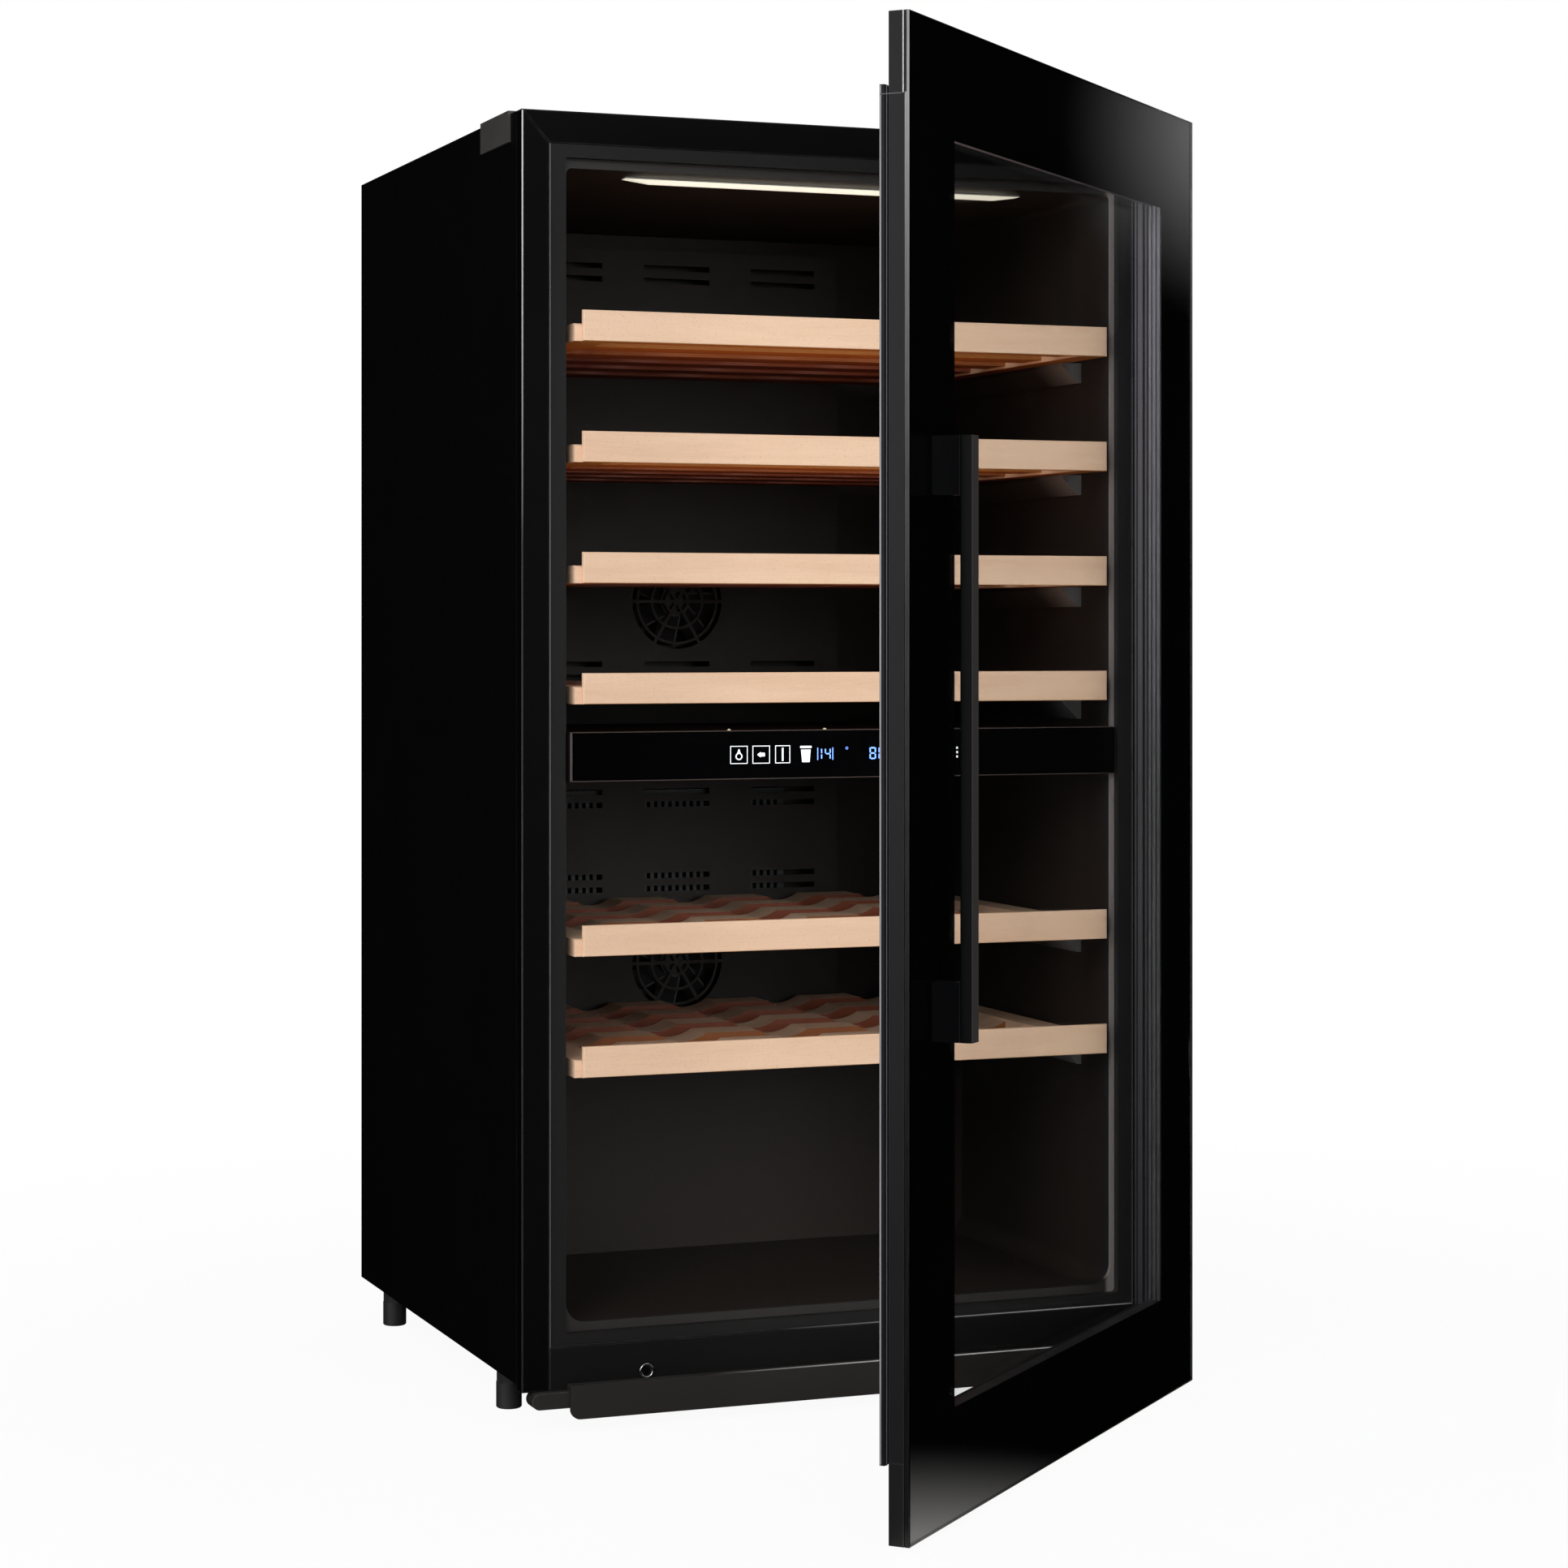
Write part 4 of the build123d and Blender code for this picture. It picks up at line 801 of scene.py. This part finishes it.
def door_glass_pieces():
    """The outer pane, its ground edge all round, and the opaque black border behind it."""
    lo, hi = closed_box("door_glass")
    inset = Vector((RIM, 0.0, RIM))
    pane = ease(start_block("door_pane", lo + inset, hi - inset), 0.25 * MM)
    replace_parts(hang(dress(pane, FINISH["door_glass"])), "door_glass")

    cap_height = closed_box("door_stiles")[1].z
    bands = (("door_pane_edge", lo + RIM_START, Vector((hi.x, lo.y, hi.z)) + SEAL_START, hi.z),
             ("door_pane_seal", lo + SEAL_START, hi, cap_height))
    for name, band_lo, band_hi, black_above in bands:
        band = ease(hollow(start_block(name, band_lo, band_hi), RIM), 0.12 * MM)
        dress(band, ground_glass(name + "_ground", black_above))
        second_finish(band, FINISH["glass_border"], lambda middle, normal: middle.z < lo.z + RIM)
        hang(band)

    print_lo, print_hi = closed_box("door_glass_border")
    gap = Vector((0.0, 0.05 * MM, 0.0))
    border = start_block("door_border_print", print_lo + gap, print_hi)
    hollow(border, BORDER_HIGH - BORDER_INSET)
    centre = (print_lo.x + print_hi.x) / 2
    edit(border)
    pick_faces(border, lambda middle, normal: normal.x > 0.9 and middle.x < centre)
    bpy.ops.transform.translate(value=(BORDER_FREE - BORDER_HIGH, 0.0, 0.0))
    pick_faces(border, lambda middle, normal: normal.x < -0.9 and middle.x > centre)
    bpy.ops.transform.translate(value=(BORDER_HIGH - BORDER_HINGE, 0.0, 0.0))
    done()
    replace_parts(hang(dress(border, FINISH["glass_border"])), "door_glass_border")


door_glass_pieces()


# ------------------------------ touch bar
BAR_LO, BAR_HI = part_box("control_glass")
# Middle of the bar's front, from which its prints are measured in millimetres
BAR_X = (BAR_LO.x + BAR_HI.x) / 2
BAR_Z = (BAR_LO.z + BAR_HI.z) / 2
PRINT_DEPTH = 0.12 * MM


def printed(name, x0, x1, z0, z1):
    """A thin block printed on the bar."""
    return start_block(name, (BAR_X + x0 * MM, BAR_LO.y - PRINT_DEPTH, BAR_Z + z0 * MM),
                       (BAR_X + x1 * MM, BAR_LO.y, BAR_Z + z1 * MM))


def printed_frame(x, width):
    """A thin square outline round a key."""
    return hollow(printed("key_frame", x - width / 2, x + width / 2, -7.25, 7.25), 0.6 * MM)


def printed_ring(name, x, z, radius, wall):
    centre = (BAR_X + x * MM, BAR_LO.y - PRINT_DEPTH / 2, BAR_Z + z * MM)
    return hollow(start_disc(name, centre, radius * MM, PRINT_DEPTH), wall * MM)


def segment_digit(name, x, lit, height, width, bar):
    """A digit of lit segments: a top, b upper right, c lower right, d foot, e lower left,
    f upper left, g middle."""
    left, right = x - width / 2, x + width / 2
    half, gap = height / 2, bar / 2
    places = {
        "a": (left + bar, right - bar, half - bar, half),
        "b": (right - bar, right, gap, half - gap),
        "c": (right - bar, right, gap - half, -gap),
        "d": (left + bar, right - bar, -half, bar - half),
        "e": (left, left + bar, gap - half, -gap),
        "f": (left, left + bar, gap, half - gap),
        "g": (left + bar, right - bar, -gap, gap),
    }
    return [ease(printed(name + "_" + key, *places[key]), 0.2 * MM) for key in lit]


def touch_bar_pieces():
    """White key symbols and blue zone readings on the bar's front."""
    keys = [printed_frame(x, width) for x, width in ((-95.0, 15.0), (-75.8, 15.0), (-57.2, 13.0))]
    keys.append(printed_ring("lamp_ring", -95.0, -1.2, 3.0, 1.0))
    keys.append(squeeze(printed("lamp_tip", -96.5, -93.5, 1.4, 4.6),
                        lambda middle, normal: normal.z > 0.9, (0.3, 1.0, 1.0)))
    keys.append(squeeze(printed("arrow_head", -79.0, -76.2, -2.3, 2.3),
                        lambda middle, normal: normal.x < -0.9, (1.0, 1.0, 0.15)))
    keys.append(printed("arrow_stem", -76.2, -72.6, -1.5, 1.5))
    keys.append(printed("key_bar", -57.9, -56.5, -5.4, 5.4))
    for x in (-37.0, 43.0):
        keys.append(squeeze(printed("cup_body", x - 4.2, x + 4.2, -6.6, 3.6),
                            lambda middle, normal: normal.z < -0.9, (0.78, 1.0, 1.0)))
        keys.append(printed("cup_rim", x - 5.0, x + 5.0, 4.8, 6.6))
    for x in (62.0, 80.0):
        keys.append(printed_frame(x, 13.0))
        keys.append(printed("key_line", x - 3.0, x + 3.0, -0.7, 0.7))
    for z in (-3.6, 0.0, 3.6):
        keys.append(printed("mark", 92.5, 94.0, z - 0.9, z + 0.9))
    symbols = join("touch_symbols", keys)
    dress(symbols, glowing("symbol_white", (0.9, 0.93, 0.97), 0.55))
    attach(symbols, "cabinet")

    digits = segment_digit("one", -24.4, "bc", 9.0, 3.4, 1.0)
    digits += segment_digit("four", -17.8, "bcfg", 9.0, 5.2, 1.0)
    digits += [printed("bracket", x - 0.35, x + 0.35, -5.0, 5.0) for x in (-26.6, -13.4)]
    digits += segment_digit("eight", 21.9, "abcdefg", 10.0, 5.8, 1.2)
    digits += segment_digit("zero", 29.9, "abcdef", 10.0, 5.8, 1.2)
    digits.append(printed_ring("degree", -1.0, 4.4, 1.1, 0.35))
    readings = join("zone_readings", digits)
    dress(readings, glowing("reading_blue", (0.16, 0.33, 1.0), 1.6))
    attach(readings, "cabinet")


def touch_bar_edges():
    """Brown lines along the bar's top and bottom edges and a mauve-grey strip on its left end, all painted
    highlights.
    """
    lo, hi = BAR_LO, BAR_HI
    edge = 0.7 * MM
    brown, mauve = [
        finish_surface(name, base, drift, (0.35, 0.5), grain=1500.0, depth=0.00001, specular=0.3)
        for name, base, drift in (("bar_edge_brown_highlight", (0.05, 0.033, 0.028), (0.075, 0.05, 0.042)),
                                  ("bar_end_mauve_highlight", (0.062, 0.044, 0.046), (0.078, 0.056, 0.058)))]
    for name, z in (("bar_edge_top", hi.z - edge), ("bar_edge_bottom", lo.z)):
        bead_line(name, (lo.x, lo.y - 0.1 * MM, z), (hi.x, lo.y + 0.4 * MM, z + edge), brown)
    bead_line("bar_end_strip", (lo.x, lo.y - 0.15 * MM, lo.z + 0.8 * MM),
              (lo.x + 1.9 * MM, lo.y + 0.4 * MM, hi.z - 0.8 * MM), mauve)


touch_bar_pieces()


# ------------------------------ small trim
# Widths of the front frame's members
STILE_WIDTH = 22.9 * MM
RAIL_HIGH = 26.0 * MM
RAIL_LOW = 34.2 * MM
# Width of the door gasket
GASKET_WIDTH = 24.0 * MM


def frame_highlight_bead_pieces():
    """Thin satin beads painted pale as highlights: left outer edge and inner edges of the frame, the joints of its
    bottom rail with the stiles, and the top of the plinth."""
    stile_lo, stile_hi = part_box("frame_stiles")
    plinth_lo, plinth_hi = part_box("plinth_grille")
    rail_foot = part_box("frame_rail_bottom")[0].z
    bead = 0.9 * MM
    outer = 1.2 * MM
    joint = 0.6 * MM
    y0, y1 = stile_lo.y - 0.25 * MM, stile_lo.y + 0.4 * MM
    middle = (stile_lo.x + stile_hi.x) / 2
    left = stile_lo.x + STILE_WIDTH
    right = 2 * middle - left
    in_lo, in_hi = rail_foot + RAIL_LOW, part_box("frame_rail_top")[1].z - RAIL_HIGH
    dark = (0.006, 0.006, 0.0065)
    # Painted highlights: the outer bead pales upwards, the rail and plinth beads pale rightwards.
    upper = painted_light_ramp("bead_highlight_paling_upwards", 2, 0.7, 0.98, (0.56, 0.56, 0.57), (0.014, 0.014, 0.015))
    side = finish_surface("bead_highlight_grey", (0.075, 0.075, 0.079), (0.1, 0.1, 0.105),
                          (0.25, 0.36), grain=2000.0, depth=0.000005)
    dim = finish_surface("joint_dim_highlight", (0.02, 0.02, 0.021), (0.028, 0.028, 0.029),
                         (0.25, 0.36), grain=2000.0, depth=0.000005)
    low = painted_light_ramp("bead_highlight_paling_rightwards", 0, middle - 0.06, middle + 0.2, (0.5, 0.5, 0.505), dark)
    edge = painted_light_ramp("plinth_bead_highlight_paling", 0, middle - 0.12, middle + 0.1, (0.8, 0.79, 0.78), dark)
    for name, x0, x1, z0, z1, material in (
            ("frame_outer_bead", stile_lo.x, stile_lo.x + outer, stile_lo.z + MM, stile_hi.z - MM, upper),
            ("frame_inner_bead", left, left + bead, in_lo, in_hi, side),
            ("frame_right_bead", right - bead, right, in_lo, in_hi, side),
            ("rail_joint_left", left, left + joint, rail_foot + 0.5 * MM, in_lo, dim),
            ("rail_joint_right", right - joint, right, rail_foot + 0.5 * MM, in_lo, dim),
            ("rail_bead", left + bead, right - bead, in_lo, in_lo + bead, low)):
        bead_line(name, (x0, y0, z0), (x1, y1, z1), material)
    bead_line("plinth_bead", (plinth_lo.x + MM, plinth_lo.y + 0.2 * MM, plinth_hi.z - 0.2 * MM),
              (plinth_hi.x - MM, plinth_lo.y + 2.2 * MM, plinth_hi.z + 0.7 * MM), edge)


def cap_strip_pieces():
    """Strip between the glass and the end of each door rail, with a painted highlight that pales upwards, and a
    seam under the upper one.
    """
    lo, hi = closed_box("door_rails")
    stile_lo, stile_hi = closed_box("door_stiles")
    # Painted highlight: the strip pales from dark at the bottom to bright at the top.
    material = painted_light_ramp("strip_metal_painted_highlight", 2, 0.1, 0.95, (0.95, 0.95, 0.96), (0.03, 0.028, 0.026),
                      (0.2, 0.3))
    y0, y1 = lo.y + 0.1 * MM, lo.y + 1.3 * MM
    strips = [start_block("cap_strip", (lo.x, y0, z0), (lo.x + 0.5 * MM, y1, z1))
              for z0, z1 in ((lo.z, stile_lo.z), (stile_hi.z, hi.z))]
    strip = ease(join("rail_end_strips", strips), 0.15 * MM)
    hang(dress(strip, material))
    seam = finish_surface("seam_mauve_grey", (0.075, 0.07, 0.078), (0.095, 0.088, 0.098), (0.3, 0.4),
                          grain=1800.0, depth=0.000008)
    bead_line("cap_seam", (lo.x - 0.05 * MM, lo.y + 1.9 * MM, stile_hi.z - 0.3 * MM),
              (lo.x + 0.4 * MM, hi.y - 0.6 * MM, stile_hi.z + 0.4 * MM), seam, "door")


def gasket_lip_pieces():
    """Two lips on the free side of the door gasket and three ribs on its hinge side, painted pale as
    highlights, and the seal round the inner pane, painted paler upwards as a highlight."""
    lo, hi = closed_box("door_gasket")
    rough = (0.28, 0.4)
    pale = finish_surface("gasket_lip_highlight_grey", (0.27, 0.27, 0.285), (0.33, 0.33, 0.35), rough,
                          grain=1800.0, depth=0.000008)
    dim = finish_surface("gasket_lip_highlight_mauve", (0.07, 0.066, 0.08), (0.09, 0.085, 0.1), rough,
                         grain=1800.0, depth=0.000008)
    for name, y, width, material in (("gasket_lip_rear", -1.4, 1.3, pale),
                                     ("gasket_lip_front", -6.0, 0.8, dim)):
        bead_line(name, (lo.x - 0.2 * MM, hi.y + y * MM, lo.z + 0.5 * MM),
                  (lo.x + 0.5 * MM, hi.y + (y + width) * MM, hi.z - 0.5 * MM),
                  material, "door")
    inner = hi.x - GASKET_WIDTH
    # Painted highlights: the ribs and the seal pale upwards.
    mauve = painted_light_ramp("gasket_rib_mauve", 2, 0.5, 0.95, (0.12, 0.108, 0.13), (0.03, 0.0285, 0.033), rough)
    for number, (y, width) in enumerate(((-1.6, 1.4), (-7.0, 4.0), (-13.0, 4.0))):
        bead_line("gasket_rib_%d" % (number + 1),
                  (inner - 0.3 * MM, hi.y + y * MM, lo.z + GASKET_WIDTH),
                  (inner + 0.4 * MM, hi.y + (y + width) * MM, hi.z - GASKET_WIDTH),
                  mauve, "door")
    pane_lo, pane_hi = closed_box("door_inner_pane")
    rim = 0.35 * MM
    seal_lo = pane_lo + Vector((-rim, 0.7 * MM, -rim))
    seal_hi = pane_hi + Vector((rim, -0.2 * MM, rim))
    seal = hollow(start_block("inner_pane_seal", seal_lo, seal_hi), rim)
    hang(dress(seal, painted_light_ramp("pane_seal_highlight_mauve", 2, 0.55, 0.95, (0.125, 0.112, 0.135),
                            (0.012, 0.0115, 0.013), rough)))


def plug_ring():
    """Polished ring on the plug in the bottom rail."""
    lo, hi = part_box("frame_plug")
    centre = Vector(((lo.x + hi.x) / 2, lo.y + 0.2 * MM, (lo.z + hi.z) / 2))
    clear_selection()
    bpy.ops.mesh.primitive_torus_add(location=centre, rotation=(pi / 2, 0, 0), major_segments=40,
                                     minor_segments=12, major_radius=5.2 * MM, minor_radius=0.9 * MM)
    ring = settle(named("plug_ring"))
    bpy.ops.object.shade_smooth()
    material = drawn_metal("ring_chrome", (0.42, 0.42, 0.43), (0.55, 0.55, 0.56), (0.08, 0.16))
    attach(dress(ring, material), "cabinet")


def divider_clips():
    """Two small clips on the divider's front edge, above the keys."""
    material = drawn_metal("clip_brass", (0.8, 0.68, 0.44), (0.9, 0.8, 0.55), (0.25, 0.4), metallic=0.5)
    clips = []
    for x in (-103.0, -20.0):
        clip = start_block("clip", (BAR_X + (x - 1.6) * MM, BAR_LO.y + 0.5 * MM, BAR_HI.z - 0.1 * MM),
                           (BAR_X + (x + 1.6) * MM, BAR_HI.y, BAR_HI.z + 1.4 * MM))
        clips.append(squeeze(clip, lambda middle, normal: normal.z > 0.9, (0.5, 0.7, 1.0)))
    clip_set = ease(join("divider_clips", clips), 0.25 * MM)
    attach(dress(clip_set, material), "cabinet")


def inlet_pins():
    """Three flat pins inside the mains inlet."""
    lo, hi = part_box("power_inlet")
    middle = (lo.x + hi.x) / 2
    z = (lo.z + hi.z) / 2
    pins = []
    for x, dz in ((-7.0, -2.0), (0.0, 2.5), (7.0, -2.0)):
        pins.append(start_block("pin", (middle + (x - 1.0) * MM, hi.y - 21 * MM, z + (dz - 2.0) * MM),
                                (middle + (x + 1.0) * MM, hi.y - 7 * MM, z + (dz + 2.0) * MM)))
    pin_set = ease(join("inlet_pins", pins), 0.4 * MM, 2)
    material = drawn_metal("pin_nickel", (0.6, 0.59, 0.56), (0.7, 0.69, 0.66), (0.2, 0.3),
                           (900.0, 40.0, 900.0))
    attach(dress(pin_set, material), "cabinet")


def rear_screws():
    """Recessed-head screws round the rear cover and up the back panel."""
    lo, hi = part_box("rear_cover")
    side, foot, top = 12 * MM, 10 * MM, 8 * MM
    first = start_disc("screw", (lo.x + side, hi.y + 0.5 * MM, lo.z + foot), 3.6 * MM, 1.0 * MM)
    edit(first)
    pick_faces(first, lambda middle, normal: normal.y > 0.9)
    bpy.ops.mesh.inset(thickness=1.9 * MM)
    bpy.ops.mesh.extrude_region_move(TRANSFORM_OT_translate={"value": (0, -0.6 * MM, 0)})
    done()
    ease(first, 0.15 * MM)
    width = hi.x - lo.x - 2 * side
    height = hi.z - lo.z
    rise = (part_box("back_panel")[1].z - hi.z - 2 * foot) / 3
    places = [(i * width / 3, z) for z in (0.0, height - foot - top) for i in range(4)]
    places += [(x, height + rise * (i + 1)) for i in range(3) for x in (0.0, width)]
    screws = [first] + [copy_by(first, (x, 0.0, z)) for x, z in places[1:]]
    material = drawn_metal("screw_black_zinc", (0.09, 0.09, 0.095), (0.14, 0.14, 0.145), (0.3, 0.42))
    screw_set = dress(join("rear_screws", screws), material)
    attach(screw_set, "cabinet")


touch_bar_edges()
frame_highlight_bead_pieces()
cap_strip_pieces()
gasket_lip_pieces()
plug_ring()
divider_clips()
inlet_pins()
rear_screws()


# ------------------------------ studio
def seen_directly(tree):
    """One for rays from the camera, off a glossy surface or through glass, zero for others."""
    rays = add(tree, "ShaderNodeLightPath").outputs
    seen = maths("MAXIMUM", rays["Is Camera Ray"], rays["Is Glossy Ray"])
    return maths("MAXIMUM", seen, rays["Is Transmission Ray"])


def aim(obj, target, axis):
    """Turn an object so that one of its axes points at a target."""
    obj.rotation_euler = (Vector(target) - obj.location).to_track_quat(axis, "Y").to_euler()


def make_floor():
    """Plain pale floor that keeps the object's shadow and pales into the background."""
    clear_selection()
    bpy.ops.mesh.primitive_plane_add(size=60.0, location=(0.0, 0.0, 0.0))
    floor = named("studio_floor")
    material, tree, shader = new_material("floor_paper", 0.0, Roughness=0.9)
    place = piece_place(tree)
    link(blend(drifting(place, 40.0, 4.0), (0.9, 0.9, 0.9), (0.92, 0.92, 0.92)),
         shader.inputs["Base Color"])
    far = spread(measure("LENGTH", place), 0.6, 1.6, 0.94, 1.0)
    paper = add(tree, "ShaderNodeEmission", {"Color": WHITE, "Strength": 1.0})
    mix_shaders(maths("MULTIPLY", seen_directly(tree), far), shader, paper,
                tree.nodes["Material Output"])
    dress(floor, material)


def make_world():
    """Soft even light, with a white background for what is seen, mirrored or seen through glass."""
    world = bpy.data.worlds.new("studio")
    bpy.context.scene.world = world
    world.use_nodes = True
    tree = world.node_tree
    tree.nodes.clear()
    light = add(tree, "ShaderNodeBackground", {"Color": (0.93, 0.96, 1.0, 1.0), "Strength": 0.5})
    paper = add(tree, "ShaderNodeBackground", {"Color": WHITE, "Strength": 1.0})
    mix_shaders(seen_directly(tree), light, paper, add(tree, "ShaderNodeOutputWorld"))


def softbox(name, place, target, width, height, power, colour=(1.0, 1.0, 1.0)):
    """An area lamp aimed at a point."""
    data = bpy.data.lights.new(name, "AREA")
    data.shape = "RECTANGLE"
    data.size = width
    data.size_y = height
    data.energy = power
    data.color = colour
    lamp = bpy.data.objects.new(name, data)
    bpy.context.scene.collection.objects.link(lamp)
    lamp.location = place
    aim(lamp, target, "-Z")
    return lamp


def make_flag(name, width, height, place, target=None, glow=None, through=True, tint=(1.0, 1.0, 1.0)):
    """A black studio card beside the set, which only the glossy surfaces mirror.

    Glow is (centre, radius, strength): where the card glows though no lamp is there, a painted reflection for the
    glossy surfaces."""
    clear_selection()
    bpy.ops.mesh.primitive_plane_add(size=1.0)
    flag = named(name)
    flag.scale = (width, height, 1.0)
    flag.location = place
    if target is not None:
        aim(flag, target, "Z")
    settle(flag)
    for ray in ("camera", "diffuse", "shadow", "volume_scatter"):
        setattr(flag, "visible_" + ray, False)
    flag.visible_transmission = through
    material, tree, shader = new_material(name + "_cloth", 0.0, Emission_Strength=1.0 if glow else 0.0)
    place = piece_place(tree)
    weave = drifting(place, 300.0)
    link(blend(weave, (0.001, 0.001, 0.001), (0.002, 0.002, 0.002)),
         shader.inputs["Base Color"])
    if glow:
        centre, radius, strength = glow
        near = spread(measure("DISTANCE", place, centre), 0.0, radius, 1.0, 0.0)
        pale = maths("MULTIPLY", maths("POWER", near, 2.0), strength)
        link(blend(pale, (0.0, 0.0, 0.0), tint), shader.inputs["Emission Color"])
    dress(flag, material)
    return flag


def make_flags():
    """Black cards round the set, so that the dark finishes stay dark."""
    # Its glow is a painted reflection, mirrored in the door glass.
    make_flag("flag_right", 2.4, 3.0, (1.75, 0.45, 1.1), (0.1, -0.2, 0.7),
              ((1.55, 0.62, 1.26), 0.29, 1.7))
    make_flag("flag_rear_left", 4.1, 3.6, (-1.42, 0.88, 1.2), (-1.22, 0.13, 1.1), through=False)
    make_flag("flag_left", 7.0, 3.6, (-3.4, -0.6, 1.2), (0.0, -0.6, 1.2), through=False)
    make_flag("flag_front", 7.0, 4.6, (0.9, -3.9, 1.6), (0.0, 0.0, 1.0))
    make_flag("flag_floor", 9.0, 9.0, (0.0, 0.0, 0.0005), through=False)
    lo = closed_box("door_glass")[0]
    corner = SWING @ Vector((lo.x, lo.y, 0.0))
    # Its glow by the door's bottom corner is a painted reflection in the glass.
    door_card = make_flag("flag_floor_door", 3.4, 1.7, (0.8, lo.y - 0.83, 0.001),
                          glow=(corner, 0.33, 1.3), tint=(1.0, 0.98, 0.95))
    door_card.matrix_world = SWING @ door_card.matrix_world
    settle(door_card)


def make_lights():
    """Two soft lamps in front, one along the left side, and a faint warm glow over three shelves."""
    softbox("key_left", (-2.6, -3.4, 2.3), (0.0, 0.0, 0.5), 1.8, 1.8, 70.0)
    softbox("fill_front", (1.2, -4.6, 1.4), (0.0, 0.0, 0.5), 2.4, 1.8, 60.0)
    softbox("rim_left", (-3.0, -0.9, 0.9), (-0.28, -0.05, 0.6), 0.5, 2.4, 26.0)
    middle = (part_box("shelf_1")[0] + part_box("shelf_1")[1]) / 2
    for number in (2, 3, 4):
        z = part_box("shelf_%d" % number)[1].z + 0.02
        glow = softbox("shelf_glow_%d" % number, (middle.x, middle.y - 0.12, z),
                       (middle.x, middle.y - 0.1, z + 1.0), 0.4, 0.1, 0.08, (1.0, 0.42, 0.1))
        for ray in ("camera", "glossy", "transmission"):
            setattr(glow, "visible_" + ray, False)


def make_camera():
    data = bpy.data.cameras.new("view_camera")
    camera = bpy.data.objects.new("view_camera", data)
    bpy.context.scene.collection.objects.link(camera)
    camera.location = CAMERA_PLACE
    camera.rotation_euler = (radians(90.0), 0.0, radians(-CAMERA_TURN))
    data.lens = CAMERA_LENS
    data.sensor_width = 36.0
    data.shift_y = CAMERA_RISE
    data.clip_end = 100.0
    bpy.context.scene.camera = camera


make_floor()
make_world()
make_lights()
make_flags()
make_camera()

bpy.context.scene.view_settings.view_transform = "Standard"
